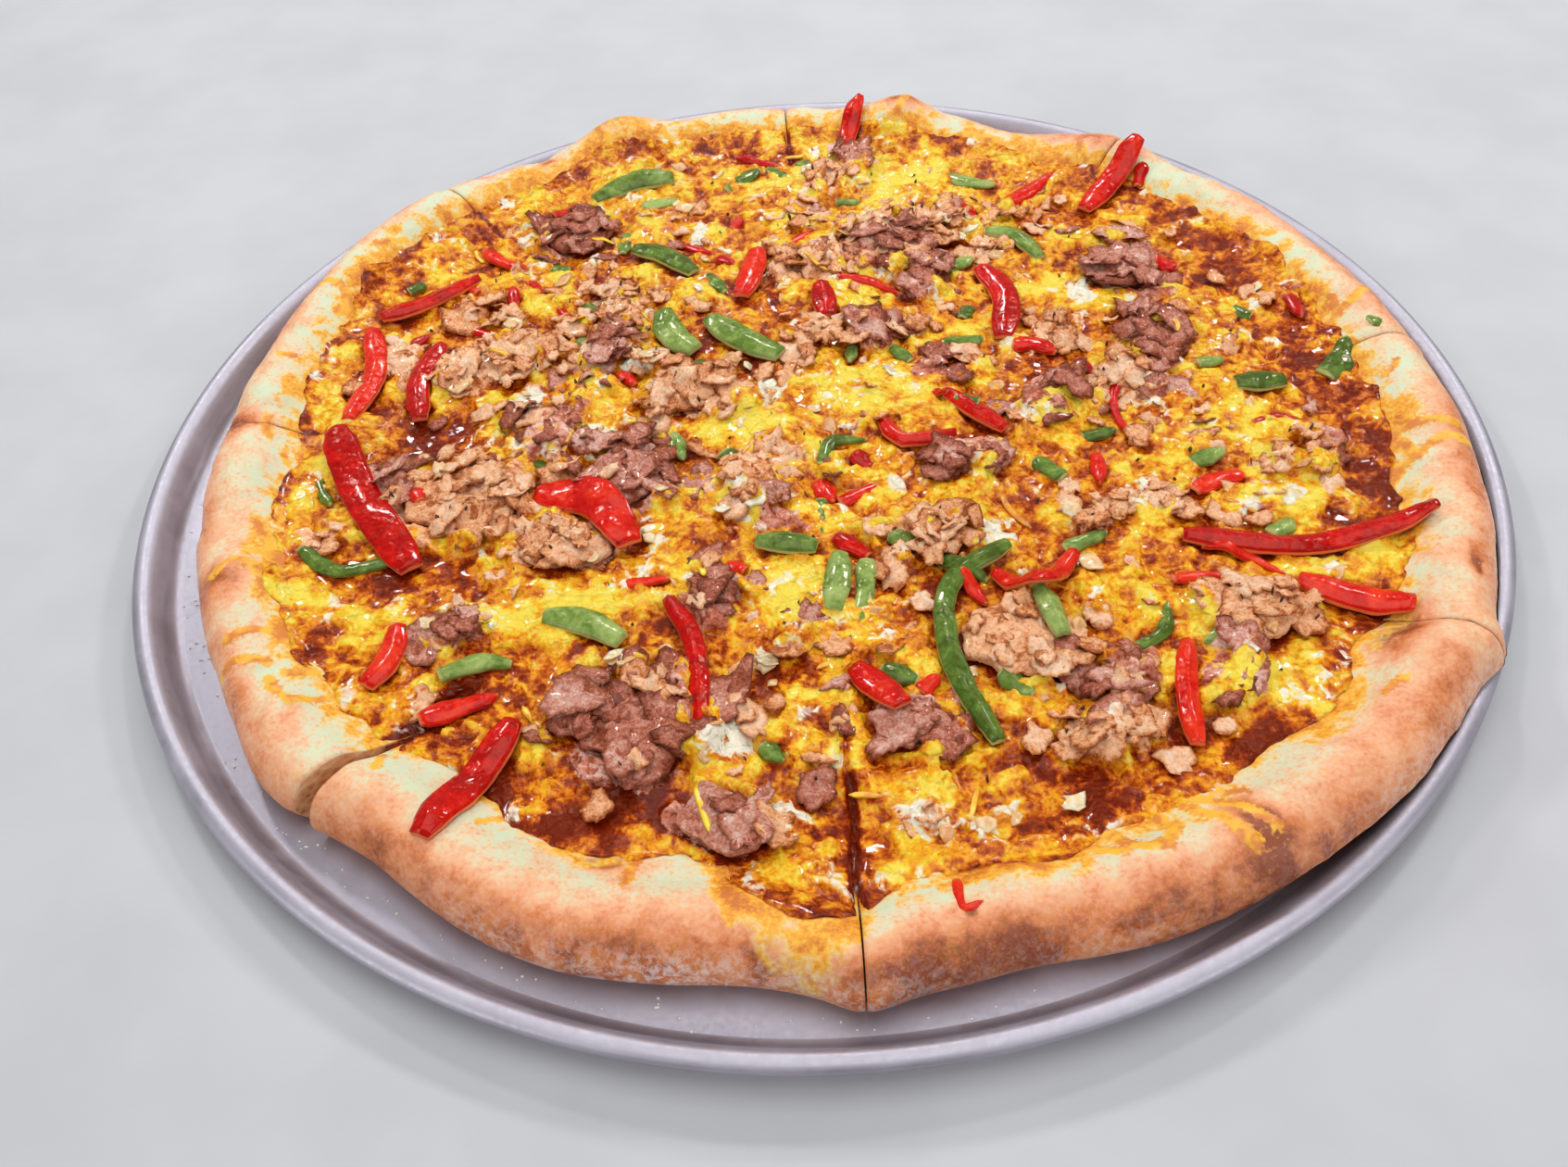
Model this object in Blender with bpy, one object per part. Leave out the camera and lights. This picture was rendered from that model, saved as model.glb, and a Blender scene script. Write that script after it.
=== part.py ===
"""A large round pizza with steak, chicken and peppers, cut in eight, on its aluminium pan.

Lengths here are millimetres and angles are degrees, and put_mesh turns them into metres.
The origin is the centre of the pan's underside, +Z is up and the front of the pizza is at -Y.
"""

import math
import random

import bpy
import numpy as np
from mathutils import Vector, noise

MM = 0.001

# Distance kept between touching pieces, straight up and across a cut.
CLEARANCE = 0.45
CUT_WIDTH = 0.7

# Pan: a flat disc, a short sloping wall and a rolled lip, turned from one section.
PAN_RADIUS = 228.5
PAN_HEIGHT = 12.0
PAN_SHEET = 1.5
PAN_FLOOR_RADIUS = 216.0
PAN_SEGMENTS = 72
# Slope above the wall and the lip that the dough keeps to where it leans on them.
PAN_REST_START = 213.0
PAN_REST_END = 219.0
PAN_REST_HEIGHT = 12.6

# Pizza: its centre is a little off the pan's, and the cuts were made by hand.
PIZZA_CENTRE = (5.0, 3.0)
CUT_ANGLES = (-136.0, -91.5, -35.0, 3.0, 47.0, 90.0, 133.5, 176.0)
OPEN_CUT = -136.0
OPEN_CUT_WIDTH = 7.0
OPEN_CUT_START = 150.0
COLUMN_STEP = 2.9

# Dough: outer radius, height of the rim's crest and width of the rim that the cheese leaves bare.
# Each bump is its direction, its half width in degrees and how much it adds.
EDGE_RADIUS = 213.0
EDGE_BUMPS = (
    (-42, 28, 9.0), (-35, 2.4, 4.5), (-141, 6, 4.0), (-115, 7, 2.5), (-91.5, 2.5, 3.5),
    (-100, 6, -3.0), (-129, 5, -2.0), (-80, 6, -3.0), (61, 11, -9.0), (85, 8, -3.0),
    (112, 7, 2.5), (143, 20, 8.0),
)
CREST_HEIGHT = 21.0
CREST_BUMPS = (
    (-161, 4, 2.0), (-105, 6, -1.5), (-50, 16, 2.5), (-38, 3, 2.5), (-8, 6, 1.0), (49, 4.0, 5.0),
    (61, 7, -2.0), (75, 4.0, 6.0), (95, 6, 1.0), (111, 4.2, 7.5), (121, 2.5, -2.5),
    (140, 9, 4.0), (175, 3, -2.5),
)
RIM_WIDTH = 30.0
RIM_WIDTH_BUMPS = (
    (-155, 6, -3.0), (-127, 8, 3.0), (-107, 6, 9.0), (-94, 5, -3.0), (-60, 14, 2.0), (-38, 6, 5.0),
    (20, 20, -2.0), (61, 10, -3.0), (120, 16, -2.0), (150, 8, -3.0), (176, 8, 3.0),
)
# Section of the rim: distance in from the edge, and height as a share of the crest.
RIM_SECTION = (
    (2.2, 0.20), (0.0, 0.47), (1.8, 0.74), (6.0, 0.93), (12.0, 1.0), (19.0, 0.92), (26.0, 0.70),
)
RIM_FEET = (24.0, 8.0)
RIM_INNER_FOOT = 40.0
DOUGH_TOP = 7.5
RIM_LUMP = 1.3
RIM_LUMP_SPACING = 24.0

# Cheese and sauce: one layer over the dough, cut with it.
CHEESE_TOP = 12.6
CHEESE_DOME = 1.2
CHEESE_LUMP = 1.3
CHEESE_LUMP_SPACING = 26.0
CHEESE_EDGE_THICKNESS = 1.0
CHEESE_EDGE_GAP = 0.7
CHEESE_RINGS = (6.0, 18.0, 45.0, 80.0, 115.0, 145.0)

# Pepper strips: width, how far each end is raised, then the points that the strip passes.
RED_PEPPERS = (
    (12, 5, 0, ((-164, 7), (-151, -24), (-130, -58))),
    (8, 0, 0, ((-162, 70), (-157, 44), (-163, 18))),
    (7, 0, 0, ((-160, 78), (-143, 86), (-124, 100))),
    (8, 0, 0, ((-134, 58), (-140, 38), (-137, 15))),
    (13, 0, 2, ((-92, -28), (-72, -36), (-60, -58))),
    (8, 0, 0, ((-131, -82), (-131, -94), (-137, -105))),
    (9, 0, 0, ((-92, -122), (-101, -140), (-112, -162))),
    (6, 0, 0, ((-48, -80), (-40, -100), (-39, -130))),
    (9, 0, 0, ((6, -112), (12, -120), (18, -131))),
    (6, 0, 0, ((52, -80), (64, -90), (78, -74))),
    (6, 0, 0, ((26, -5), (32, -17), (50, -15))),
    (7, 0, 0, ((50, 6), (58, -4), (67, -15))),
    (10, 0, 0, ((74, 80), (80, 60), (75, 36))),
    (9, 0, 0, ((11, 77), (12, 56))),
    (9, 0, 0, ((-12, 104), (-15, 90), (-20, 74))),
    (8, 2, 0, ((38, 201), (34, 191), (30, 178))),
    (9, 3, 0, ((149, 144), (137, 131), (122, 116))),
    (7, 2, 0, ((188, -73), (148, -79), (113, -70))),
    (9, 0, 0, ((142, -92), (154, -100), (170, -107))),
    (6, 0, 0, ((103, -112), (98, -130), (96, -148))),
)
GREEN_PEPPERS = (
    (6, 2, 0, ((58, -70), (38, -84), (34, -112), (43, -142))),
    (8, 0, 0, ((6, -67), (2, -90))),
    (7, 0, 0, ((64, -88), (67, -110))),
    (9, 0, 0, ((-86, -83), (-74, -86), (-62, -95))),
    (8, 0, 0, ((-20, -58), (-1, -63))),
    (11, 2, 0, ((-50, 64), (-47, 51), (-38, 42))),
    (11, 0, 0, ((-32, 60), (-22, 47), (-7, 35))),
    (9, 0, 0, ((-62, 112), (-50, 106), (-38, 92))),
    (9, 0, 0, ((-80, 152), (-64, 162), (-46, 164))),
    (7, 0, 0, ((80, 105), (91, 100), (98, 84))),
    (9, 0, 0, ((150, 0), (167, 0))),
)
PEPPER_THICKNESS = 3.2
PEPPER_STATION = 8.0

# Torn slabs of meat: centre, half length, half width and direction of the length.
STEAK = (
    (-85, 124, 13, 10, 20), (43, 102, 19, 11, 0), (130, 76, 15, 11, 75), (-61, -24, 15, 12, 80),
    (-58, -126, 19, 13, 100), (-33, -160, 15, 8, -35), (20, -133, 12, 7, -10),
)
CHICKEN = (
    (-117, -31, 21, 13, -15), (56, -105, 18, 14, 0), (128, -103, 13, 9, 10), (-80, -54, 13, 9, 0),
    (-36, 20, 15, 12, 30),
)
STEAK_THICKNESS = 4.2
CHICKEN_THICKNESS = 3.8
SLAB_SIDES = 11
SLAB_TEAR = 0.22

# Crumbs of meat and diced onion that are baked into the cheese.
CRUMBS_PER_SLICE = 11
CRUMB_SIZES = (12.0, 6.0)
CRUMB_HEIGHT = 4.6
CRUMB_TRIES = 60

# Colour, roughness and metallic value of each kind of piece.
FINISHES = {
    "pan": ((0.42, 0.42, 0.46), 0.38, 1.0),
    "crust": ((0.86, 0.66, 0.40), 0.75, 0.0),
    "cheese": ((0.88, 0.52, 0.07), 0.35, 0.0),
    "red_pepper": ((0.62, 0.02, 0.02), 0.25, 0.0),
    "green_pepper": ((0.10, 0.26, 0.08), 0.30, 0.0),
    "steak": ((0.26, 0.13, 0.12), 0.50, 0.0),
    "chicken": ((0.70, 0.38, 0.22), 0.50, 0.0),
}

# Half of a 1 mm grid that holds the height of everything already on the pan, and how often
# a topping is raised where it would still touch what is under it.
FIELD_HALF = 235
REST_ROUNDS = 60


def clear_scene():
    """Remove the objects that a new file starts with."""
    for existing in list(bpy.data.objects):
        bpy.data.objects.remove(existing, do_unlink=True)


def finish_of(kind, name):
    """Material of one object, from the finish of its kind."""
    colour, roughness, metallic = FINISHES[kind]
    material = bpy.data.materials.new(name)
    material.use_nodes = True
    shader = material.node_tree.nodes["Principled BSDF"]
    shader.inputs["Base Color"].default_value = (*colour, 1.0)
    shader.inputs["Roughness"].default_value = roughness
    shader.inputs["Metallic"].default_value = metallic
    return material


def put_mesh(name, points, faces, kind):
    """Object from points in millimetres, shaded smooth up to its sharp edges."""
    mesh = bpy.data.meshes.new(name)
    mesh.from_pydata([Vector(point) * MM for point in points], [], faces)
    mesh.validate()
    mesh.shade_smooth()
    mesh.set_sharp_from_angle(angle=math.radians(40))
    mesh.materials.append(finish_of(kind, name))
    piece = bpy.data.objects.new(name, mesh)
    bpy.context.scene.collection.objects.link(piece)
    return piece


def bumps(angle, table):
    """Sum of the round bumps of a table at one direction."""
    total = 0.0
    for centre, half_width, amount in table:
        turn = (angle - centre + 180.0) % 360.0 - 180.0
        total += amount * math.exp(-(turn / half_width) ** 2)
    return total


def edge_radius(angle):
    """Outer radius of the dough in one direction."""
    return EDGE_RADIUS + bumps(angle, EDGE_BUMPS)


def crest_height(angle):
    """Height of the rim's crest in one direction."""
    return CREST_HEIGHT + bumps(angle, CREST_BUMPS)


def rim_width(angle):
    """Width of the rim that the cheese leaves bare in one direction."""
    return RIM_WIDTH + bumps(angle, RIM_WIDTH_BUMPS)


def lump(x, y, spacing, seed):
    """Smooth unevenness between about -1 and 1."""
    return noise.noise(Vector((x / spacing, y / spacing, seed)))


def above_pan(x, y, height):
    """The height, or more where the wall and the lip of the pan are in the way."""
    radius = math.hypot(x, y)
    rise = (radius - PAN_REST_START) / (PAN_REST_END - PAN_REST_START)
    rest = PAN_SHEET + (PAN_REST_HEIGHT - PAN_SHEET) * min(max(rise, 0.0), 1.0)
    return max(height, rest + CLEARANCE)


def make_pan():
    """Pan turned from a closed section whose first and last points bound its two flat faces."""
    section = (
        (215.5, 0.0), (219.6, 2.0), (223.0, 8.0), (226.4, 8.2), (PAN_RADIUS, 9.8),
        (227.6, 11.5), (225.4, PAN_HEIGHT), (223.2, 11.2), (221.2, 8.0), (218.7, 3.0),
        (PAN_FLOOR_RADIUS, PAN_SHEET),
    )
    points = []
    for radius, height in section:
        for i in range(PAN_SEGMENTS):
            turn = 2.0 * math.pi * i / PAN_SEGMENTS
            points.append((radius * math.cos(turn), radius * math.sin(turn), height))
    faces = [list(range(PAN_SEGMENTS))[::-1]]
    for ring in range(len(section) - 1):
        start = ring * PAN_SEGMENTS
        for i in range(PAN_SEGMENTS):
            j = (i + 1) % PAN_SEGMENTS
            faces.append((start + i, start + j, start + PAN_SEGMENTS + j, start + PAN_SEGMENTS + i))
    last = (len(section) - 1) * PAN_SEGMENTS
    faces.append([last + i for i in range(PAN_SEGMENTS)])
    return put_mesh("pan", points, faces, "pan")


class Column:
    """A vertical section of a slice, at one direction from the middle of the pizza."""

    def __init__(self, angle, side):
        self.angle = angle
        self.side = side
        self.edge = edge_radius(angle)
        self.crest = crest_height(angle)

    def place(self, radius):
        """Plan position at a radius, moved off the cut where the column bounds its slice."""
        turn = math.radians(self.angle)
        shift = self.side * CUT_WIDTH / 2.0
        is_open = abs((self.angle - OPEN_CUT + 180.0) % 360.0 - 180.0) < 0.01
        if is_open and radius > OPEN_CUT_START:
            spread = (radius - OPEN_CUT_START) / (EDGE_RADIUS - OPEN_CUT_START)
            shift = self.side * (CUT_WIDTH + (OPEN_CUT_WIDTH - CUT_WIDTH) * spread ** 2) / 2.0
        x = PIZZA_CENTRE[0] + radius * math.cos(turn) - shift * math.sin(turn)
        y = PIZZA_CENTRE[1] + radius * math.sin(turn) + shift * math.cos(turn)
        return x, y

    def dough_points(self):
        """Points from the flat underside, up and over the rim, and down to the flat dough."""
        floor = PAN_SHEET + CLEARANCE
        points = []
        for inset in RIM_FEET:
            x, y = self.place(self.edge - inset)
            points.append((x, y, above_pan(x, y, floor)))
        for inset, share in RIM_SECTION:
            x, y = self.place(self.edge - inset)
            height = share * self.crest + RIM_LUMP * share * lump(x, y, RIM_LUMP_SPACING, 3.0)
            points.append((x, y, above_pan(x, y, height)))
        x, y = self.place(self.edge - RIM_INNER_FOOT)
        points.append((x, y, DOUGH_TOP))
        return points

    def cheese_points(self):
        """Lower points and upper points of the cheese, each from the inside outwards."""
        inner, outer = self.dough_points()[-1], self.dough_points()[-2]
        width = rim_width(self.angle)
        share = (RIM_INNER_FOOT - width) / (RIM_INNER_FOOT - RIM_SECTION[-1][0])
        x, y = self.place(self.edge - width)
        edge_height = inner[2] + (outer[2] - inner[2]) * share + CHEESE_EDGE_GAP
        lower = [(inner[0], inner[1], inner[2] + CLEARANCE), (x, y, edge_height)]
        edge_top = edge_height + CHEESE_EDGE_THICKNESS
        upper = [(x, y, edge_top)]
        for inset in CHEESE_RINGS:
            radius = self.edge - width - inset
            x, y = self.place(radius)
            share = min(inset / CHEESE_RINGS[1], 1.0)
            height = edge_top + (cheese_height(x, y) - edge_top) * share
            upper.append((x, y, height))
        return lower, upper[::-1]


def cheese_height(x, y):
    """Upper surface of the bare cheese away from its edge."""
    radius = math.hypot(x - PIZZA_CENTRE[0], y - PIZZA_CENTRE[1])
    dome = CHEESE_DOME * (1.0 - (radius / EDGE_RADIUS) ** 2)
    return CHEESE_TOP + dome + CHEESE_LUMP * lump(x, y, CHEESE_LUMP_SPACING, 9.0)


def slice_columns(start, end):
    """Columns of one slice, from its first cut to its second."""
    count = round((end - start) / COLUMN_STEP)
    columns = []
    for i in range(count + 1):
        side = 1 if i == 0 else -1 if i == count else 0
        columns.append(Column(start + (end - start) * i / count, side))
    return columns


def slice_tip(start, end):
    """Plan position where the two cut faces of a slice meet."""
    middle = math.radians((start + end) / 2.0)
    half = math.radians((end - start) / 2.0)
    reach = CUT_WIDTH / 2.0 / math.sin(half)
    return PIZZA_CENTRE[0] + reach * math.cos(middle), PIZZA_CENTRE[1] + reach * math.sin(middle)


def slice_mesh(sections, tip, low, high, rising):
    """Solid between equal sections whose inner ends all meet at the tip.

    The quads of the dough fall and those of the cheese rise, so that their diagonals match.
    """
    points = [(*tip, low), (*tip, high)]
    size = len(sections[0])
    for section in sections:
        points.extend(section)
    faces = []
    for i in range(len(sections) - 1):
        this, following = 2 + i * size, 2 + (i + 1) * size
        faces.append((0, following, this))
        for k in range(size - 1):
            a, b = this + k, this + k + 1
            c, d = following + k + 1, following + k
            faces += [(a, d, b), (b, d, c)] if rising else [(a, d, c), (a, c, b)]
        faces.append((1, this + size - 1, following + size - 1))
    last = 2 + (len(sections) - 1) * size
    faces.append([0] + [2 + k for k in range(size)] + [1])
    faces.append([1] + [last + k for k in reversed(range(size))] + [0])
    return points, faces


class Field:
    """Height of the highest thing at each millimetre of the pan."""

    def __init__(self):
        self.cells = np.zeros((2 * FIELD_HALF + 1, 2 * FIELD_HALF + 1))

    def add(self, a, b, c):
        """Raise the field to a triangle."""
        corners = np.array((a, b, c))
        low = np.floor(corners[:, :2].min(axis=0)).astype(int) - 1
        high = np.ceil(corners[:, :2].max(axis=0)).astype(int) + 1
        xs, ys = np.meshgrid(np.arange(low[0], high[0] + 1), np.arange(low[1], high[1] + 1))
        (ax, ay, az), (bx, by, bz), (cx, cy, cz) = corners
        area = (bx - ax) * (cy - ay) - (cx - ax) * (by - ay)
        if abs(area) < 1e-6:
            return
        v = ((xs - ax) * (cy - ay) - (cx - ax) * (ys - ay)) / area
        w = ((bx - ax) * (ys - ay) - (xs - ax) * (by - ay)) / area
        slack = 0.7 * math.sqrt(2.0 / abs(area))
        inside = (v > -slack) & (w > -slack) & (v + w < 1.0 + slack)
        heights = az + np.clip(v, 0, 1) * (bz - az) + np.clip(w, 0, 1) * (cz - az)
        heights = np.minimum(heights, corners[:, 2].max())
        rows, columns = ys[inside] + FIELD_HALF, xs[inside] + FIELD_HALF
        np.maximum.at(self.cells, (rows, columns), heights[inside])

    def add_object(self, piece):
        """Raise the field to the upper faces of an object."""
        mesh = piece.data
        mesh.calc_loop_triangles()
        for triangle in mesh.loop_triangles:
            if triangle.normal.z > 0.02:
                self.add(*(mesh.vertices[i].co / MM for i in triangle.vertices))

    def at(self, point):
        """Height at a point, the highest of the four cells round it."""
        x, y = point[0] + FIELD_HALF, point[1] + FIELD_HALF
        column, row = int(x), int(y)
        return self.cells[row:row + 2, column:column + 2].max()


def sample_weights(steps):
    """Evenly spread barycentric weights inside a triangle."""
    weights = []
    for i in range(steps + 1):
        for j in range(steps + 1 - i):
            weights.append((i / steps, j / steps, (steps - i - j) / steps))
    return np.array(weights)


def rest_heights(field, plan, triangles):
    """Lowest heights at which a thin sheet clears everything under it."""
    heights = np.array([field.at(point) for point in plan]) + CLEARANCE
    weights = sample_weights(6)
    for _ in range(REST_ROUNDS):
        moved = False
        for triangle in triangles:
            corners = list(triangle)
            ground = np.array([field.at(point) for point in weights @ plan[corners]])
            short = ground + CLEARANCE - weights @ heights[corners]
            worst = int(short.argmax())
            if short[worst] > 1e-3:
                share = weights[worst]
                heights[corners] += share * (short[worst] / (share @ share))
                moved = True
        if not moved:
            break
    return heights


def lay_sheet(field, name, kind, plan, triangles, border, thickness, lift):
    """Thick sheet that rests on what is already there, as a closed object."""
    plan = np.array(plan, dtype=float)
    lower = rest_heights(field, plan, triangles) + np.array(lift)
    upper = lower + np.array(thickness)
    count = len(plan)
    points = [(x, y, z) for (x, y), z in zip(plan, lower)]
    points += [(x, y, z) for (x, y), z in zip(plan, upper)]
    faces = [(c, b, a) for a, b, c in triangles]
    faces += [(a + count, b + count, c + count) for a, b, c in triangles]
    for i, here in enumerate(border):
        there = border[(i + 1) % len(border)]
        faces.append((here, there, there + count))
        faces.append((here, there + count, here + count))
    piece = put_mesh(name, points, faces, kind)
    field.add_object(piece)
    return piece


def path_point(points, place):
    """Point on a smooth curve through the points, with place from 0 to 1."""
    if len(points) == 2:
        return points[0].lerp(points[1], place)
    spans = len(points) - 1
    i = min(int(place * spans), spans - 1)
    t = place * spans - i
    before = points[i - 1] if i > 0 else 2 * points[0] - points[1]
    after = points[i + 2] if i + 2 <= spans else 2 * points[-1] - points[-2]
    a, b = points[i], points[i + 1]
    return 0.5 * (2 * a + (b - before) * t + (2 * before - 5 * a + 4 * b - after) * t ** 2
                  + (3 * a - before - 3 * b + after) * t ** 3)


def lay_strip(field, name, kind, width, lifts, route):
    """Strip of pepper, arched across and narrower at its ends."""
    points = [Vector(point) for point in route]
    length = sum((b - a).length for a, b in zip(points, points[1:]))
    stations = max(4, round(length / PEPPER_STATION) + 1)
    plan, thickness, lift = [], [], []
    for i in range(stations):
        place = i / (stations - 1)
        here = path_point(points, place)
        along = path_point(points, min(place + 0.02, 1.0)) - path_point(points, max(place - 0.02, 0.0))
        across = Vector((-along.y, along.x)).normalized()
        taper = 0.62 if i in (0, stations - 1) else 1.0
        raised = lifts[0] * (1.0 - place) ** 2 + lifts[1] * place ** 2
        for side in (-0.5, 0.0, 0.5):
            plan.append(tuple(here + across * (side * width * taper)))
            thickness.append(PEPPER_THICKNESS * (1.0 if side == 0.0 else 0.55) * (0.6 + 0.4 * taper))
            lift.append(raised)
    triangles = []
    for i in range(stations - 1):
        for k in (0, 1):
            a, b = 3 * i + k, 3 * i + k + 1
            c, d = 3 * (i + 1) + k + 1, 3 * (i + 1) + k
            triangles += [(a, d, c), (a, c, b)]
    rows = range(stations)
    border = [3 * i for i in rows] + [3 * stations - 2] + [3 * i + 2 for i in reversed(rows)] + [1]
    return lay_sheet(field, name, kind, plan, triangles, border, thickness, lift)


def lay_slab(field, name, kind, spot, height, chance):
    """Torn slab of meat with a ragged outline and a lumpy top."""
    x, y, half_length, half_width, direction = spot
    turn = math.radians(direction)
    along = Vector((math.cos(turn), math.sin(turn)))
    across = Vector((-along.y, along.x))
    centre = Vector((x, y))
    plan, thickness = [tuple(centre)], [height]
    for share, thick in ((0.55, 0.95), (1.0, 0.5)):
        for i in range(SLAB_SIDES):
            angle = 2.0 * math.pi * (i + 0.35 * chance.uniform(-1, 1)) / SLAB_SIDES
            reach = share * (1.0 + SLAB_TEAR * chance.uniform(-1, 1) * share)
            plan.append(tuple(centre + along * (half_length * reach * math.cos(angle))
                              + across * (half_width * reach * math.sin(angle))))
            thickness.append(height * thick * chance.uniform(0.8, 1.15))
    triangles = []
    for i in range(SLAB_SIDES):
        j = (i + 1) % SLAB_SIDES
        a, b, c, d = 1 + i, 1 + j, 1 + SLAB_SIDES + i, 1 + SLAB_SIDES + j
        triangles += [(0, a, b), (a, c, d), (a, d, b)]
    border = [1 + SLAB_SIDES + i for i in range(SLAB_SIDES)]
    lift = [0.0] * len(plan)
    return lay_sheet(field, name, kind, plan, triangles, border, thickness, lift)


def crumb_mesh(name, spot, chance):
    """Small torn crumb, a flattened and jittered icosahedron sunk into the cheese."""
    x, y, size = spot
    golden = (1.0 + math.sqrt(5.0)) / 2.0
    corners = []
    for a in (-1.0, 1.0):
        for b in (-golden, golden):
            corners += [(0.0, a, b), (a, b, 0.0), (b, 0.0, a)]
    hull = [Vector(corner).normalized() * chance.uniform(0.85, 1.15) for corner in corners]
    spin = chance.uniform(0.0, math.pi)
    stretch = chance.uniform(0.65, 0.85)
    points = []
    for corner in hull:
        u, v = corner.x * size / 2.0, corner.y * size / 2.0 * stretch
        points.append((x + u * math.cos(spin) - v * math.sin(spin),
                       y + u * math.sin(spin) + v * math.cos(spin),
                       cheese_height(x, y) + 0.4 + corner.z * CRUMB_HEIGHT * 0.6))
    mesh = bpy.data.meshes.new(name)
    mesh.from_pydata([Vector(point) * MM for point in points], [], convex_faces(points))
    crumb = bpy.data.objects.new(name, mesh)
    return crumb


def convex_faces(points):
    """Triangles of the hull of a few points, each facing out."""
    cloud = np.array(points)
    middle = cloud.mean(axis=0)
    faces = []
    count = len(points)
    for i in range(count):
        for j in range(i + 1, count):
            for k in range(j + 1, count):
                normal = np.cross(cloud[j] - cloud[i], cloud[k] - cloud[i])
                side = (cloud - cloud[i]) @ normal
                if (side <= 1e-9).all() or (side >= -1e-9).all():
                    out = normal @ (cloud[i] - middle) > 0
                    faces.append((i, j, k) if out else (i, k, j))
    return faces


def crumb_spots(bare, field, start, end, chance):
    """Places for crumbs on one slice, the largest first, clear of cuts and toppings."""
    spots = []
    for number in range(CRUMBS_PER_SLICE):
        share = number / (CRUMBS_PER_SLICE - 1)
        size = CRUMB_SIZES[0] + (CRUMB_SIZES[1] - CRUMB_SIZES[0]) * share
        best, best_gap = None, 0.0
        for _ in range(CRUMB_TRIES):
            angle = math.radians(chance.uniform(start, end))
            radius = EDGE_RADIUS * 0.76 * math.sqrt(chance.uniform(0.03, 1.0))
            x = PIZZA_CENTRE[0] + radius * math.cos(angle)
            y = PIZZA_CENTRE[1] + radius * math.sin(angle)
            off_cut = radius * min(math.sin(angle - math.radians(start)),
                                   math.sin(math.radians(end) - angle))
            if off_cut < size / 2.0 + 2.0 or not is_bare(bare, field, x, y, size / 2.0 + 1.5):
                continue
            gap = min([math.hypot(x - a, y - b) for a, b, _ in spots], default=99.0)
            if gap > best_gap and gap > size + 1.0:
                best, best_gap = (x, y, size), gap
        if best:
            spots.append(best)
    return spots


def is_bare(bare, field, x, y, reach):
    """Whether no topping lies within reach of a point."""
    low_x, high_x = int(x - reach) + FIELD_HALF, int(x + reach) + 2 + FIELD_HALF
    low_y, high_y = int(y - reach) + FIELD_HALF, int(y + reach) + 2 + FIELD_HALF
    change = field.cells[low_y:high_y, low_x:high_x] - bare.cells[low_y:high_y, low_x:high_x]
    return change.max() < 0.01


def fuse(piece, extras):
    """Join closed objects into one with a single union, then remove them."""
    group = bpy.data.collections.new(piece.name + "_extras")
    bpy.context.scene.collection.children.link(group)
    for extra in extras:
        group.objects.link(extra)
    union = piece.modifiers.new("fuse", "BOOLEAN")
    union.operation = "UNION"
    union.operand_type = "COLLECTION"
    union.solver = "EXACT"
    union.collection = group
    evaluated = piece.evaluated_get(bpy.context.evaluated_depsgraph_get())
    joined = bpy.data.meshes.new_from_object(evaluated)
    piece.modifiers.clear()
    piece.data = joined
    for extra in extras:
        bpy.data.objects.remove(extra, do_unlink=True)
    bpy.data.collections.remove(group)


def build():
    """Whole pizza on its pan."""
    clear_scene()
    make_pan()
    field = Field()
    layers = []
    for i, start in enumerate(CUT_ANGLES):
        end = CUT_ANGLES[(i + 1) % len(CUT_ANGLES)]
        if end < start:
            end += 360.0
        columns = slice_columns(start, end)
        tip = slice_tip(start, end)
        dough = [column.dough_points() for column in columns]
        points, faces = slice_mesh(dough, tip, PAN_SHEET + CLEARANCE, DOUGH_TOP, False)
        crust = put_mesh(f"crust_slice_{i + 1}", points, faces, "crust")
        cheese = []
        for column in columns:
            lower, upper = column.cheese_points()
            cheese.append(lower + upper[::-1])
        points, faces = slice_mesh(cheese, tip, DOUGH_TOP + CLEARANCE, cheese_height(*tip), True)
        layer = put_mesh(f"cheese_slice_{i + 1}", points, faces, "cheese")
        field.add_object(crust)
        field.add_object(layer)
        layers.append((layer, start, end))
    bare = Field()
    bare.cells = field.cells.copy()

    chance = random.Random(17)
    for i, spot in enumerate(CHICKEN):
        lay_slab(field, f"chicken_{i + 1:02d}", "chicken", spot, CHICKEN_THICKNESS, chance)
    for i, spot in enumerate(STEAK):
        lay_slab(field, f"steak_{i + 1:02d}", "steak", spot, STEAK_THICKNESS, chance)
    for kind, strips in (("green_pepper", GREEN_PEPPERS), ("red_pepper", RED_PEPPERS)):
        for i, (width, first, last, route) in enumerate(strips):
            lay_strip(field, f"{kind}_{i + 1:02d}", kind, width, (first, last), route)

    for layer, start, end in layers:
        spots = crumb_spots(bare, field, start, end, chance)
        crumbs = [crumb_mesh(f"crumb_{n}", spot, chance) for n, spot in enumerate(spots)]
        fuse(layer, crumbs)


build()
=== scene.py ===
"""Looks of the round pizza on its aluminium pan.

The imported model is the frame. The pizza and its pan are worked out in millimetres and made in metres, and the
floor and the lights are placed in metres.
"""

import math
import random

import bmesh
import bpy
import numpy as np
from mathutils import Matrix, Vector, noise


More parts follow.
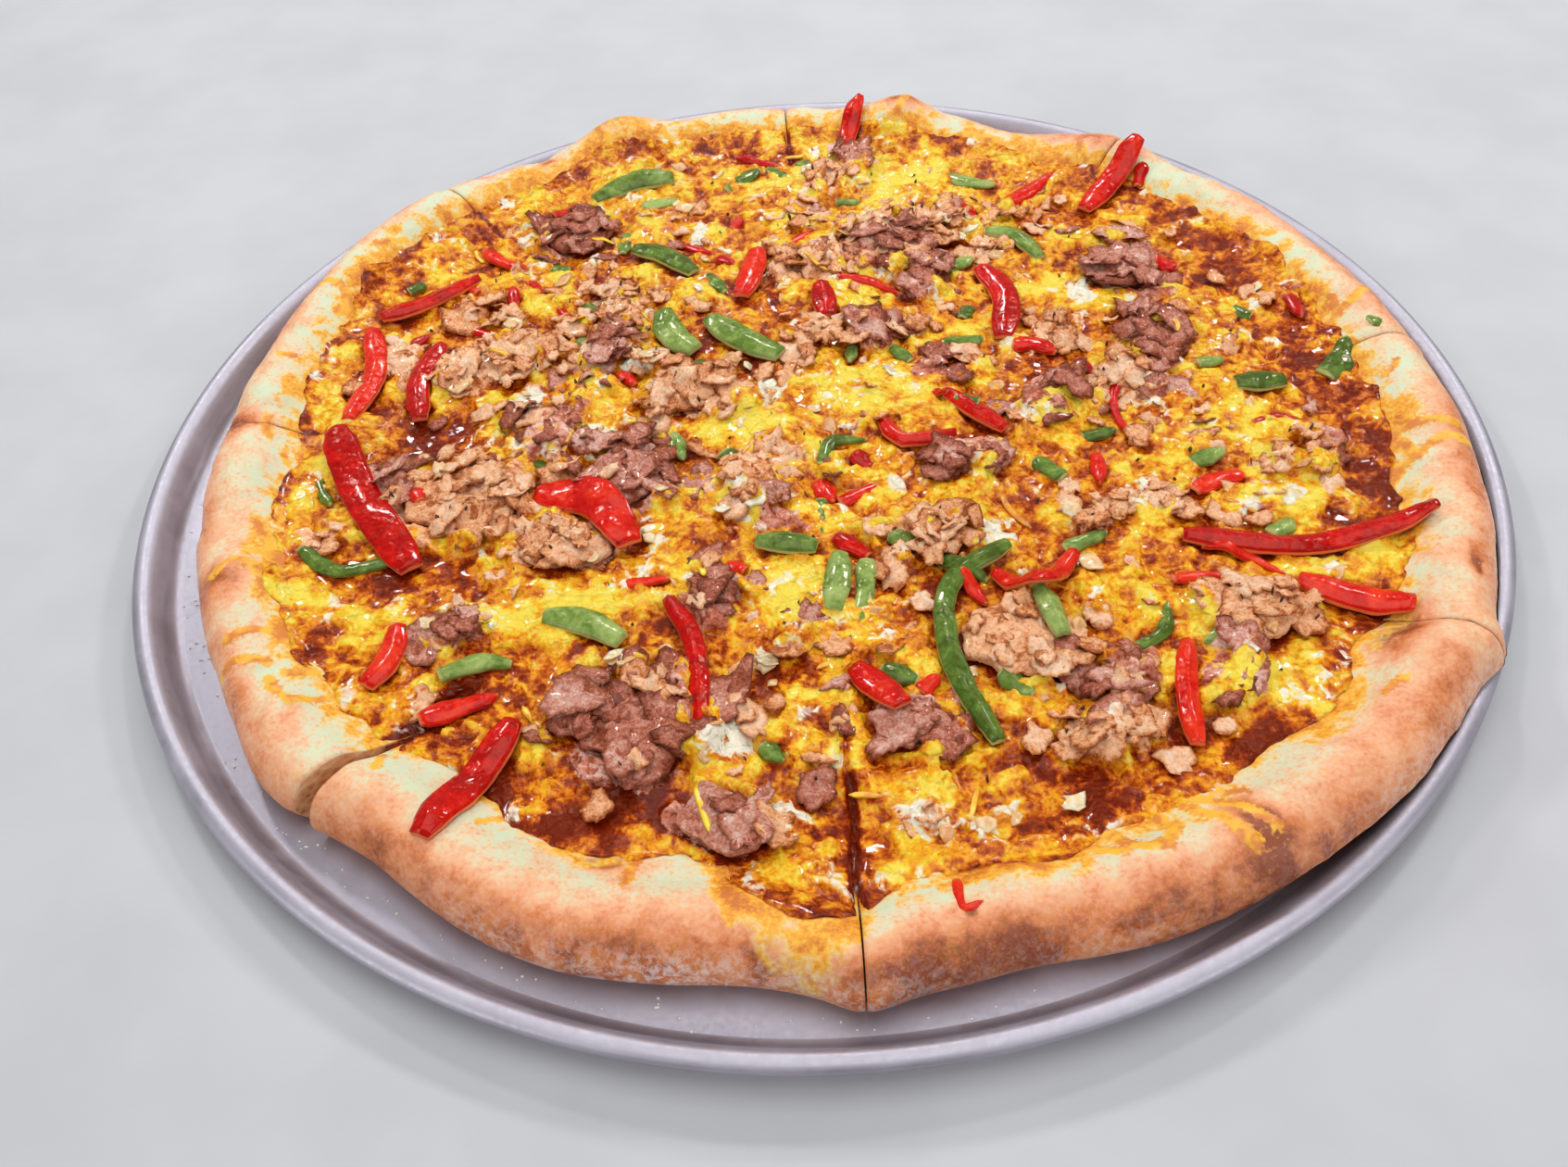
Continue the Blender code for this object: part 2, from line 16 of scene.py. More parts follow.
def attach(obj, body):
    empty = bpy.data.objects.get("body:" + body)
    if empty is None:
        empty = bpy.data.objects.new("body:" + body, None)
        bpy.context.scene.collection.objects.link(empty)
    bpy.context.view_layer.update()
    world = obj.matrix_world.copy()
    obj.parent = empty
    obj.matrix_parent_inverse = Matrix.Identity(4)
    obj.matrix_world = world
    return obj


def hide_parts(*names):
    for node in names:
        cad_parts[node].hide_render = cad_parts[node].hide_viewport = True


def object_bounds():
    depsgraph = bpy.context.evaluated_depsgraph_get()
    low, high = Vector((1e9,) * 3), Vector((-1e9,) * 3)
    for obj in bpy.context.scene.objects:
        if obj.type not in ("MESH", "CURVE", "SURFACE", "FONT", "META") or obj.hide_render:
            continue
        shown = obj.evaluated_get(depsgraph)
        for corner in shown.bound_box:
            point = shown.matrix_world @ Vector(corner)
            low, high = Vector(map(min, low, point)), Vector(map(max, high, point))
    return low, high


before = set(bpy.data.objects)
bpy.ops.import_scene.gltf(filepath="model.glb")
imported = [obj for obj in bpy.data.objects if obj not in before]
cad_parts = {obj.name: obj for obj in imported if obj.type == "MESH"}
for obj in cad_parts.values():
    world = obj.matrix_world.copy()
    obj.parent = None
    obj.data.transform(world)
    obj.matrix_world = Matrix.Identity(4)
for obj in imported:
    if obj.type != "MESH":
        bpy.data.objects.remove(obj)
cad_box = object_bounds()

MM = 0.001
TOP_LIMIT = cad_box[1][2] / MM

# Camera: place, tilt below the horizon, roll, lens and sensor.
CAMERA_PLACE = (-12.3, -345.8, 310.2)
CAMERA_PITCH = 47.74
CAMERA_ROLL = -4.556
CAMERA_LENS = 29.77
CAMERA_SENSOR = 36.0

# Pan, as in the CAD model: its section from the underside up the wall, round the lip and down to the floor,
# the fine marks pressed round its lip, and the height at which the dough rests on its wall.
PAN_RADIUS = 228.5
PAN_SHEET = 1.5
PAN_HEIGHT = 12.0
PAN_SECTION = (
    (215.5, 0.0), (219.6, 2.0), (223.0, 8.0), (226.4, 8.2), (PAN_RADIUS, 9.8),
    (227.6, 11.5), (225.4, PAN_HEIGHT), (223.2, 11.2), (221.2, 8.0), (218.7, 3.0), (216.0, PAN_SHEET),
)
PAN_MARKS = 660
PAN_MARK_DEPTH = 0.16
PAN_LIP_RADIUS = 226.6
PAN_LIP_HALF_WIDTH = 1.6
PAN_LIP_BOTTOM = 9.5
PAN_REST_START = 213.0
PAN_REST_END = 219.0
PAN_REST_HEIGHT = 12.6

# Pizza, with the same driving sizes as the CAD model.
CLEARANCE = 0.45
CENTRE_X = 5.0
CENTRE_Y = 3.0
CUT_ANGLES = (-136.0, -91.5, -35.0, 3.0, 47.0, 90.0, 133.5, 176.0)
OPEN_CUT = -136.0
OPEN_CUT_WIDTH = 7.0
OPEN_CUT_START = 150.0
CUT_WIDTH = 0.5
EDGE_RADIUS = 213.0
EDGE_BUMPS = (
    (-42, 28, 9.0), (-35, 2.4, 4.5), (-141, 6, 4.0), (-115, 7, 2.5), (-91.5, 2.5, 3.5),
    (-100, 6, -3.0), (-129, 5, -2.0), (-80, 6, -3.0), (61, 11, -9.0), (85, 8, -3.0),
    (112, 7, 2.5), (143, 20, 8.0),
)
CREST_HEIGHT = 21.0
CREST_BUMPS = (
    (-161, 4, 2.0), (-105, 6, -1.5), (-50, 16, 2.5), (-38, 3, 2.5), (-8, 6, 1.0), (49, 4.0, 5.0),
    (61, 7, -2.0), (75, 4.0, 6.0), (95, 6, 1.0), (111, 4.2, 7.5), (121, 2.5, -2.5),
    (140, 9, 4.0), (175, 3, -2.5),
)
RIM_WIDTH = 30.0
RIM_WIDTH_BUMPS = (
    (-155, 6, -3.0), (-127, 8, 3.0), (-107, 6, 9.0), (-94, 5, -3.0), (-60, 14, 2.0), (-38, 6, 5.0),
    (20, 20, -2.0), (61, 10, -3.0), (120, 16, -2.0), (150, 8, -3.0), (176, 8, 3.0),
)
RIM_SECTION = (
    (2.2, 0.20), (0.0, 0.47), (1.8, 0.74), (6.0, 0.93), (12.0, 1.0), (19.0, 0.92), (26.0, 0.70),
)
RIM_FEET = (24.0, 8.0)
RIM_INNER_FOOT = 40.0
DOUGH_TOP = 7.5
RIM_LUMP = 1.3
RIM_LUMP_SPACING = 24.0
CHEESE_TOP = 12.6
CHEESE_DOME = 1.2
CHEESE_LUMP = 1.3
CHEESE_LUMP_SPACING = 26.0
CHEESE_SHOULDER = 18.0
# Columns of the dough's mesh for each degree, how many of them an open cut moves, and points along each side
# of the cheese's grid.
CRUST_COLUMNS = 3.6
OPEN_CUT_COLUMNS = 8
CHEESE_STEPS = 300
# Circle round which the unevenness of the cheese's border is read.
FRINGE_RING = 180.0

# Where each cut still shows in the cheese, sunk and darkened with painted shade: direction, distance where it
# begins, depth and half width.
CUT_MARKS = (
    (-91.5, 135.0, 3.2, 1.1), (OPEN_CUT, 150.0, 4.5, 2.2), (-35.0, 168.0, 2.0, 1.0), (90.0, 165.0, 1.6, 1.0),
    (176.0, 165.0, 1.0, 1.0), (133.5, 168.0, 1.0, 0.9), (47.0, 175.0, 0.8, 0.9), (3.0, 175.0, 0.7, 0.9),
)

# Patches of the topping: centre, half sizes and strength.
SAUCE_PATCHES = (
    (-135, 8, 13, 11, 1.0), (-130, -62, 30, 9, 0.75), (-65, -152, 24, 8, 1.0), (1, -163, 8, 20, 0.9),
    (58, -154, 34, 8, 0.65), (179, -22, 8, 40, 1.0), (181, 25, 8, 18, 0.9), (-110, -116, 12, 7, 0.9),
    (-150, -47, 9, 6, 0.9), (-92, -140, 12, 8, 0.8), (88, -138, 8, 14, 0.7), (120, -146, 16, 7, 0.7),
    (165, -62, 12, 7, 0.6), (145, 100, 10, 20, 0.5), (165, 80, 9, 20, 0.45), (-40, 178, 50, 6, 0.45),
    (60, 176, 40, 6, 0.45), (-120, 120, 12, 16, 0.35), (-98, -92, 10, 6, 0.5), (8, -36, 12, 5, 0.5),
    (25, -147, 14, 6, 0.6), (-20, -118, 10, 6, 0.4), (130, 30, 7, 16, 0.4), (-88, 142, 14, 6, 0.4),
)
CHEDDAR_PATCHES = (
    (25, 14, 20, 14, 1.0), (-22, -1, 20, 8, 0.9), (60, 42, 9, 9, 1.0), (-95, -85, 14, 7, 1.0),
    (-171, -14, 9, 12, 0.8), (-160, -70, 22, 9, 0.9), (-135, -82, 16, 8, 0.9), (15, -46, 30, 8, 0.8),
    (-6, -80, 9, 14, 1.0), (-2, -140, 12, 10, 1.0), (-75, -75, 20, 7, 0.8), (40, 145, 25, 12, 0.8),
    (58, 186, 14, 8, 0.9), (-142, 116, 12, 20, 0.8), (-95, 90, 10, 14, 0.7), (150, -20, 14, 12, 0.7),
    (163, -60, 16, 8, 0.8), (172, -88, 10, 9, 0.9), (120, -126, 12, 7, 0.8), (136, -136, 14, 7, 0.9),
    (95, 60, 9, 10, 0.8), (152, 30, 10, 10, 0.7), (12, -150, 18, 9, 0.7), (45, -155, 20, 9, 0.6),
    (-172, 40, 6, 22, 0.7), (-172, 80, 6, 14, 0.8), (80, -15, 14, 8, 0.6), (-24, -45, 8, 10, 0.7),
    (-130, 92, 10, 10, 0.7), (0, 125, 12, 8, 0.6), (10, 160, 14, 6, 0.6), (-60, 185, 30, 7, 0.6),
    (100, 175, 16, 6, 0.7), (-160, 20, 6, 8, 0.7), (-30, -190, 12, 7, 0.7), (-12, -182, 9, 8, 0.7),
)
WHITE_PATCHES = (
    (-10, 18, 5, 8, 1.0), (45, 97, 4, 6, 0.9), (-60, 38, 7, 4, 0.8), (-122, 30, 5, 4, 0.9),
    (-73, -3, 4, 7, 1.0), (-25, -40, 4, 9, 0.8), (12, -8, 5, 5, 0.7), (-32, -134, 8, 6, 0.8),
    (-62, -102, 6, 4, 0.6), (30, -34, 6, 4, 0.7), (120, -2, 5, 10, 0.6), (-35, 120, 3, 12, 0.7),
    (-150, -20, 3, 9, 0.6), (36, -170, 20, 5, 0.5), (20, -163, 8, 6, 0.6), (108, 62, 5, 8, 0.7),
    (60, -60, 9, 4, 0.6), (-100, 20, 5, 8, 0.5), (138, -60, 6, 4, 0.6), (-20, -105, 8, 4, 0.6),
)
# Where the chopped meat lies thickest.
CHICKEN_PATCHES = (
    (-40, 18, 20, 16, 1.0), (-118, -30, 26, 18, 1.2), (-82, -52, 18, 11, 1.0), (-150, 52, 9, 18, 1.0),
    (-110, 45, 28, 18, 0.9), (-70, 75, 20, 20, 0.7), (22, 155, 18, 18, 0.8), (110, 4, 12, 14, 0.9),
    (56, -104, 18, 15, 0.5), (128, -100, 18, 10, 1.2), (70, -142, 14, 8, 0.9), (92, 35, 16, 14, 0.7),
    (-165, -40, 9, 9, 0.9), (-60, 50, 14, 12, 0.7), (10, 95, 30, 16, 0.7), (20, 45, 22, 12, 0.7),
    (60, 120, 34, 14, 0.6), (-15, -25, 16, 12, 0.8), (30, -62, 24, 8, 0.7), (-115, 75, 16, 12, 0.6),
    (155, -40, 14, 10, 0.6), (80, 100, 20, 16, 0.6), (-50, -110, 14, 8, 0.5), (95, -55, 18, 8, 0.6),
)
STEAK_PATCHES = (
    (-85, 124, 16, 13, 1.0), (42, 102, 24, 13, 1.2), (130, 72, 16, 18, 1.1), (127, 30, 9, 22, 1.0),
    (-61, -24, 16, 18, 1.1), (-58, -126, 18, 22, 1.1), (-33, -160, 18, 10, 1.0), (21, -131, 15, 9, 1.0),
    (-36, -84, 12, 12, 1.0), (113, -122, 11, 12, 1.0), (50, -25, 14, 9, 0.9), (28, 172, 11, 9, 1.0),
    (-110, -87, 9, 7, 1.0), (50, 74, 8, 15, 0.9), (-86, 2, 13, 16, 1.0), (-140, -14, 9, 12, 0.9),
    (28, 48, 10, 14, 0.9), (-11, -50, 10, 7, 0.9), (88, 2, 14, 10, 0.9), (85, -120, 8, 9, 0.9),
    (47, 25, 5, 14, 0.9), (172, -30, 8, 16, 0.6), (-12, -94, 9, 6, 0.8), (-70, 50, 6, 18, 0.7),
)

# Small pepper strips that have no node of their own: width, then the points that each passes.
SMALL_RED = (
    (6, ((-124, 122), (-115, 112), (-105, 105))), (4, ((-104, 98), (-94, 82), (-84, 64))),
    (5, ((-110, 92), (-108, 76))), (5, ((-127, 72), (-120, 66), (-113, 62))), (5, ((-104, 62), (-102, 55))),
    (5, ((18, 82), (30, 78), (41, 68))), (6, ((-28, 104), (-22, 96))), (5, ((0, 108), (12, 117))),
    (4, ((-42, 116), (-30, 106))), (6, ((-18, 181), (-8, 175), (-1, 170))),
    (9, ((84, 120), (97, 130), (116, 143))), (6, ((72, 128), (80, 119))),
    (4, ((118, -74), (130, -80), (140, -90))), (4, ((105, -88), (118, -87), (128, -91))),
    (7, ((122, -50), (132, -45), (140, -44))), (3.5, ((150, -20), (160, -17), (170, -22))),
    (6, ((96, -27), (93, -44))), (8, ((141, 76), (149, 73))), (6, ((184, 48), (184, 33))),
    (4, ((119, 14), (108, 2), (106, -12), (109, -24))), (8, ((2, -30), (6, -42))),
    (7, ((5, -58), (15, -68))), (6, ((-30, -66), (-24, -70))), (4, ((-70, -70), (-60, -71), (-48, -71))),
    (6, ((24, -122), (30, -117))), (5, ((42, -80), (48, -92))),
    (8, ((-120, -118), (-108, -114), (-98, -110))), (6, ((-66, 34), (-60, 26))),
    (6, ((-40, 31), (-40, 24))), (8, ((78, 33), (86, 31), (92, 24))),
    (3, ((25, -184), (25, -194), (30, -193))), (6, ((-133, -24), (-130, -30))), (7, ((15, -20), (20, -28))),
    (5, ((46, 9), (50, 4))), (6, ((-97, 144), (-86, 148))), (5, ((-132, 100), (-124, 92))),
    (6, ((8, -42), (20, -36), (28, -35))), (5, ((100, 22), (103, 10))), (6, ((150, 136), (146, 126))),
    (5, ((-22, 124), (-18, 130))), (6, ((-147, 62), (-140, 66))),
)
SMALL_GREEN = (
    (8, ((-60, 148), (-44, 150))), (10, ((-24, 156), (-9, 168))), (6, ((8, 172), (14, 168))),
    (5, ((22, 137), (32, 137))), (9, ((68, 154), (80, 146), (90, 142))), (7, ((-33, 92), (-26, 78))),
    (6, ((-65, 126), (-67, 112))), (6, ((-96, 106), (-88, 104))), (7, ((-82, 76), (-76, 74))),
    (6, ((-82, 56), (-77, 50))), (7, ((60, 82), (72, 88))), (8, ((50, 34), (68, 38))),
    (5, ((140, 12), (150, 15))), (11, ((182, 2), (190, 8), (194, 17))), (7, ((202, 20), (207, 21))),
    (7, ((124, -37), (136, -33))), (6, ((92, -20), (104, -19))), (7, ((74, -30), (82, -40))),
    (6, ((4, -24), (8, -12), (20, -13))), (9, ((-29, -14), (-20, -26), (-12, -30))),
    (6, ((2, -40), (1, -57))), (7, ((14, -70), (12, -84), (9, -98))), (7, ((22, -60), (30, -63))),
    (8, ((14, -112), (24, -118))), (8, ((48, -118), (56, -126))), (5, ((88, -112), (98, -106), (102, -94))),
    (7, ((-116, -103), (-104, -98), (-95, -99))), (5, ((-106, -14), (-96, -11), (-88, -15))),
    (5, ((-170, -8), (-166, -18), (-162, -24))), (6, ((-168, -45), (-155, -55), (-135, -52))),
    (6, ((76, -70), (90, -66))), (6, ((36, -72), (50, -82))), (6, ((-152, 96), (-146, 100))),
    (7, ((-38, 36), (-32, 30))), (6, ((40, 28), (34, 36))), (6, ((60, -2), (52, 2))),
    (7, ((-47, -2), (-43, -16))), (6, ((116, -108), (108, -112))), (7, ((162, 44), (168, 40))),
    (6, ((-22, -136), (-16, -142))), (5, ((20, 40), (18, 30))), (7, ((140, -72), (150, -66))),
    (6, ((-5, 168), (2, 160))), (6, ((66, 58), (62, 50))),
)

# Threads of melted cheddar on the bare rim that stand out: radius, then the points that each passes.
RIM_THREADS = (
    (2.0, ((62, -168), (68, -176), (76, -182), (82, -176), (80, -170))),
    (1.8, ((90, -163), (98, -170), (106, -180))), (1.8, ((84, -164), (92, -172), (100, -184))),
    (1.8, ((-184, -34), (-176, -46), (-168, -58))),
    (1.6, ((-190, -62), (-184, -57), (-176, -60), (-172, -70))),
    (1.5, ((-180, -88), (-172, -84), (-164, -86))), (1.7, ((-186, -102), (-176, -96), (-166, -97))),
    (1.6, ((-164, -104), (-156, -112), (-146, -108))),
    (1.6, ((178, -36), (190, -33), (202, -34), (212, -37))),
    (1.5, ((180, -54), (192, -48), (204, -42), (212, -44))), (1.6, ((188, 28), (198, 32), (208, 40))),
    (1.6, ((48, 178), (56, 192), (64, 206))), (1.7, ((-72, 180), (-78, 192), (-82, 204))),
    (1.8, ((-192, 92), (-182, 98), (-174, 88), (-176, 80))),
)
SHORT_THREADS = 34

# Where the melted cheese runs further onto the rim: direction, half width and distance.
SPILLS = (
    (-95, 4.0, 18.0), (-100.5, 3.5, 11.0), (-84, 3, 5.0), (-77, 4, 8.0), (-66, 3, 6.0), (-124, 7, -2.0),
    (-150, 4, 5.0), (-162, 5, 6.0), (172, 6, 5.0), (150, 9, 4.0), (95, 60, 9.0), (62, 5, 4.0),
    (112, 6, 5.0), (20, 14, 5.0), (-8, 5, 6.0), (-24, 5, 4.0), (-48, 6, 3.0),
)

# Patches where the rim is toasted: direction, distance in from the edge, half sizes and strength.
TOAST_PATCHES = (
    (111, 11, 3.5, 9, 2.2), (121.5, 12, 1.2, 12, 1.5), (75, 11, 3, 8, 1.7), (49, 12, 2.5, 8, 1.3),
    (-161, 12, 2.0, 12, 1.6), (176, 8, 1.6, 13, 1.4), (-37.5, 27, 3.0, 6, 2.0), (-62, 12, 1.2, 16, 1.5),
    (-105, 6, 9, 7, 0.7), (-112, 32, 4, 5, 0.9), (-75, 6, 10, 7, 0.7), (-50, 12, 14, 10, 0.55),
    (-125, 4, 7, 7, 0.6), (-88, 4, 6, 7, 0.8), (-97, 22, 3, 6, 0.8), (-148, 5, 6, 6, 0.5),
    (10, 4, 5, 8, 0.7), (-12, 6, 4, 8, 0.5), (25, 6, 14, 6, 0.5), (60, 8, 10, 6, 0.5), (95, 6, 12, 6, 0.5),
    (135, 5, 10, 5, 0.5), (160, 5, 12, 5, 0.4), (-170, 4, 8, 4, 0.35), (-84, 13, 0.9, 2.5, 2.0),
    (-95.5, 16, 0.8, 3, 2.0), (-76, 25, 1.2, 2.2, 1.9), (-28, 9, 0.9, 2, 1.6), (-112.5, 28, 1.0, 2, 1.8),
    (-26, 24, 3, 4, 0.6), (-20, 8, 7, 6, 0.5), (-143, 16, 2, 3, 1.0),
)
TOAST_DEPTH = 0.46
# Direction of the side that is browned most.
BROWNED_SIDE = -75.0
# Flour that sticks to the outer foot of the dough: direction, half width and strength.
FLOUR_PATCHES = (
    (-105, 8, 1.0), (-172, 14, 0.8), (-150, 8, 0.5), (-118, 6, 0.5), (-75, 8, 0.4), (-45, 12, 0.7),
    (-20, 12, 0.9), (0, 12, 0.8), (-92, 6, 0.6), (30, 20, 0.5), (90, 40, 0.4), (150, 20, 0.5),
)

# Colours by place on a ramp. Crust darkens with its toast, the stain with its oil, and threads, onion and
# mozzarella with their tint. Bread, cheese and meat go from dark to pale.
CRUST_TONES = (
    (0.00, (0.61, 0.67, 0.46)), (0.16, (0.71, 0.60, 0.38)), (0.33, (0.79, 0.45, 0.25)),
    (0.54, (0.78, 0.33, 0.160)), (0.76, (0.64, 0.19, 0.055)), (1.00, (0.28, 0.055, 0.014)),
)
STAIN_TONES = (
    (0.10, (0.81, 0.60, 0.26)), (0.30, (0.83, 0.46, 0.035)), (0.55, (0.82, 0.33, 0.012)),
    (0.90, (0.56, 0.14, 0.004)),
)
# The dark end of the bread's ramp is painted shade in the crumb's holes.
BREAD_TONES = ((0.05, (0.45, 0.14, 0.05)), (0.3, (0.78, 0.38, 0.17)), (0.8, (0.88, 0.56, 0.30)))
CHEESE_TONES = (
    (0.03, (0.15, 0.008, 0.000)), (0.16, (0.29, 0.028, 0.001)), (0.29, (0.47, 0.080, 0.002)),
    (0.43, (0.65, 0.18, 0.006)), (0.60, (0.79, 0.295, 0.010)), (0.77, (0.81, 0.45, 0.013)),
    (0.97, (0.83, 0.64, 0.07)),
)
CHEDDAR_TONES = (
    (0.0, (0.93, 0.80, 0.24)), (0.3, (0.93, 0.71, 0.035)), (0.55, (0.90, 0.50, 0.02)),
    (0.78, (0.72, 0.27, 0.02)), (1.0, (0.42, 0.12, 0.02)),
)
PALE_TONES = (
    (0.0, (0.84, 0.78, 0.58)), (0.2, (0.83, 0.66, 0.38)), (0.5, (0.80, 0.48, 0.22)),
    (1.0, (0.66, 0.28, 0.09)),
)
CHICKEN_TONES = (
    (0.36, (0.36, 0.080, 0.015)), (0.44, (0.64, 0.215, 0.07)), (0.51, (0.82, 0.37, 0.17)),
    (0.59, (0.90, 0.49, 0.27)), (0.72, (0.95, 0.68, 0.49)),
)
STEAK_TONES = (
    (0.39, (0.20, 0.032, 0.010)), (0.46, (0.36, 0.080, 0.036)), (0.53, (0.51, 0.150, 0.088)),
    (0.60, (0.64, 0.26, 0.18)), (0.70, (0.84, 0.52, 0.42)),
)
SPECK_TONES = ((0.3, (0.02, 0.008, 0.004)), (0.7, (0.10, 0.04, 0.02)))
FLOUR_TONES = ((0.3, (0.80, 0.74, 0.62)), (0.7, (0.90, 0.88, 0.82)))
# Skin in its dark, plain and light places, then the cut flesh.
RED_SKIN = ((0.36, 0.002, 0.001), (0.58, 0.004, 0.002), (0.76, 0.035, 0.010), (0.78, 0.20, 0.07))
GREEN_SKIN = ((0.055, 0.10, 0.011), (0.13, 0.22, 0.034), (0.33, 0.43, 0.12), (0.50, 0.49, 0.17))

# Loose flakes under the cheese and on it: kind, count, where they lie and the share that lies anywhere.
# Then come their sizes, widths, thicknesses, curl, sides, lift and the height of the heap that they stop at.
FLAKES_UNDER = (
    ("steak", 150, STEAK_PATCHES, 0.05, (22.0, 11.0), (0.5, 0.85), (1.1, 1.6), 0.15, 24, 0.4, 3.6),
    ("chicken", 200, CHICKEN_PATCHES, 0.12, (18.0, 9.0), (0.55, 0.9), (1.2, 1.9), 0.16, 24, 0.6, 3.6),
    ("chicken", 130, CHICKEN_PATCHES, 0.45, (9.0, 6.0), (0.55, 0.95), (1.2, 1.8), 0.14, 16, 0.6, 4.6),
    ("pale", 40, WHITE_PATCHES, 0.75, (9.0, 5.0), (0.6, 0.95), (1.3, 1.8), 0.06, 12, 0.4, 4.6),
)
FLAKES_OVER = (
    ("chicken", 460, CHICKEN_PATCHES, 0.24, (17.0, 5.0), (0.45, 0.9), (1.0, 1.6), 0.20, 20, -0.45, 6.5),
    ("steak", 190, STEAK_PATCHES, 0.14, (24.0, 7.0), (0.45, 0.8), (0.9, 1.3), 0.17, 26, -0.45, 6.0),
    ("pale", 110, WHITE_PATCHES, 0.8, (9.0, 4.0), (0.6, 0.95), (1.0, 1.5), 0.10, 12, -0.5, 6.0),
)
FLAKE_REACH = 180.0
# Spacing of the lumps on the detailed copies of the large pieces.
DETAIL_SPACING = 5.0
CHEDDAR_THREADS = 34
SPECKS = 260
FLOUR_SPECKS = 260


def wrapped(angle):
    """Angle between -180 and 180 degrees, for numbers and arrays."""
    return (np.asarray(angle) + 180.0) % 360.0 - 180.0


def bumps(angle, table):
    """Sum of the round bumps of a table."""
    total = np.zeros_like(np.asarray(angle, dtype=float))
    for centre, half_width, amount in table:
        total = total + amount * np.exp(-(wrapped(angle - centre) / half_width) ** 2)
    return total


def edge_radius(angle):
    """Outer radius of the dough."""
    return EDGE_RADIUS + bumps(angle, EDGE_BUMPS)


def crest_height(angle):
    """Height of the rim's crest."""
    return CREST_HEIGHT + bumps(angle, CREST_BUMPS)


def rim_width(angle):
    """Width of the rim that the cheese leaves bare."""
    return RIM_WIDTH + bumps(angle, RIM_WIDTH_BUMPS)


def cheese_reach(angle):
    """Distance from the middle of the pizza at which the cheese ends."""
    return edge_radius(angle) - rim_width(angle)


def lump(x, y, spacing, seed):
    """Same smooth unevenness as in the CAD model, at each point of two arrays."""
    x, y = np.asarray(x, dtype=float), np.asarray(y, dtype=float)
    flat = [noise.noise(Vector((a / spacing, b / spacing, seed))) for a, b in zip(x.ravel(), y.ravel())]
    return np.array(flat).reshape(x.shape)


GRAIN = np.random.RandomState(11).rand(256, 256)


def eased(share):
    """Share from 0 to 1 with a soft start and end."""
    return share * share * (3.0 - 2.0 * share)


def grain(x, y, spacing, seed, octaves=1):
    """Value noise between -1 and 1, with finer layers at half the height of the one before."""
    x, y = np.asarray(x, dtype=float), np.asarray(y, dtype=float)
    total, weight, height = 0.0, 0.0, 1.0
    for octave in range(octaves):
        u, v = x / spacing + 17.3 * octave, y / spacing - 9.1 * octave
        i, j = np.floor(u), np.floor(v)
        f, g = u - i, v - j
        f, g = eased(f), eased(g)
        corners = []
        for a in (0, 1):
            for b in (0, 1):
                row = (i + a + 37 * seed + 101 * octave).astype(int) % 256
                column = (j + b + 91 * seed + 53 * octave).astype(int) % 256
                corners.append(GRAIN[row, column])
        low = corners[0] * (1 - g) + corners[1] * g
        high = corners[2] * (1 - g) + corners[3] * g
        total = total + height * (2.0 * (low * (1 - f) + high * f) - 1.0)
        weight += height
        spacing, height = spacing * 0.5, height * 0.5
    return total / weight


def scales(x, y, spacing, seed):
    """Scattered scales: how far inside its own each point lies, its number and its slope there."""
    u, v = x / spacing, y / spacing
    i, j = np.floor(u), np.floor(v)
    nearest, second = np.full_like(u, 9.0), np.full_like(u, 9.0)
    number, rise = np.zeros_like(u), np.zeros_like(u)
    for a in (-1, 0, 1):
        for b in (-1, 0, 1):
            row = (i + a + 37 * seed).astype(int) % 256
            column = (j + b + 91 * seed).astype(int) % 256
            dx, dy = u - i - a - GRAIN[row, column], v - j - b - GRAIN[column, row]
            away = np.hypot(dx, dy)
            mark = GRAIN[(row + 128) % 256, column]
            closer = away < nearest
            second = np.where(closer, nearest, np.minimum(second, away))
            number = np.where(closer, mark, number)
            rise = np.where(closer, dx * np.cos(40.0 * mark) + dy * np.sin(40.0 * mark), rise)
            nearest = np.where(closer, away, nearest)
    return np.clip((second - nearest) * 2.6, 0.0, 1.0), number, rise


def patches(x, y, table, ragged, seed):
    """Strength of the patches of a table, with ragged borders."""
    x = x + ragged * grain(x, y, 9.0, seed, 2)
    y = y + ragged * grain(x, y, 9.0, seed + 5, 2)
    total = np.zeros_like(x)
    for cx, cy, rx, ry, strength in table:
        total = np.maximum(total, strength * np.exp(-((x - cx) / rx) ** 4 - ((y - cy) / ry) ** 4))
    return total


def polar(x, y):
    """Direction in degrees and distance from the middle of the pizza."""
    return np.degrees(np.arctan2(y - CENTRE_Y, x - CENTRE_X)), np.hypot(x - CENTRE_X, y - CENTRE_Y)


def on_plan(angle, radius):
    """Place on the plan, from a direction in degrees and a distance from the middle of the pizza."""
    turn = np.radians(angle)
    return CENTRE_X + radius * np.cos(turn), CENTRE_Y + radius * np.sin(turn)


def smooth_section(points, steps):
    """Smooth curve through the points of a section."""
    points = np.array(points, dtype=float)
    ends = np.vstack((2 * points[0] - points[1], points, 2 * points[-1] - points[-2]))
    rows = []
    for i in range(len(points) - 1):
        before, a, b, after = ends[i:i + 4]
        for t in np.arange(steps) / steps:
            rows.append(0.5 * (2 * a + (b - before) * t + (2 * before - 5 * a + 4 * b - after) * t ** 2
                               + (3 * a - before - 3 * b + after) * t ** 3))
    rows.append(points[-1])
    return np.array(rows)


RIM_CURVE = smooth_section(RIM_SECTION, 9)
INNER_CURVE = RIM_CURVE[int(RIM_CURVE[:, 0].argmin()):]


def rim_swell(x, y, share):
    """Blisters and wrinkles of the rim, by the share of the crest's height at each point."""
    puff = 0.9 * grain(x, y, 15.0, 31) + 1.1 * np.maximum(grain(x, y, 7.0, 32), 0.0) ** 2
    return (puff + 0.25 * grain(x, y, 3.2, 33, 2)) * np.clip(share * 1.4, 0.0, 1.0)


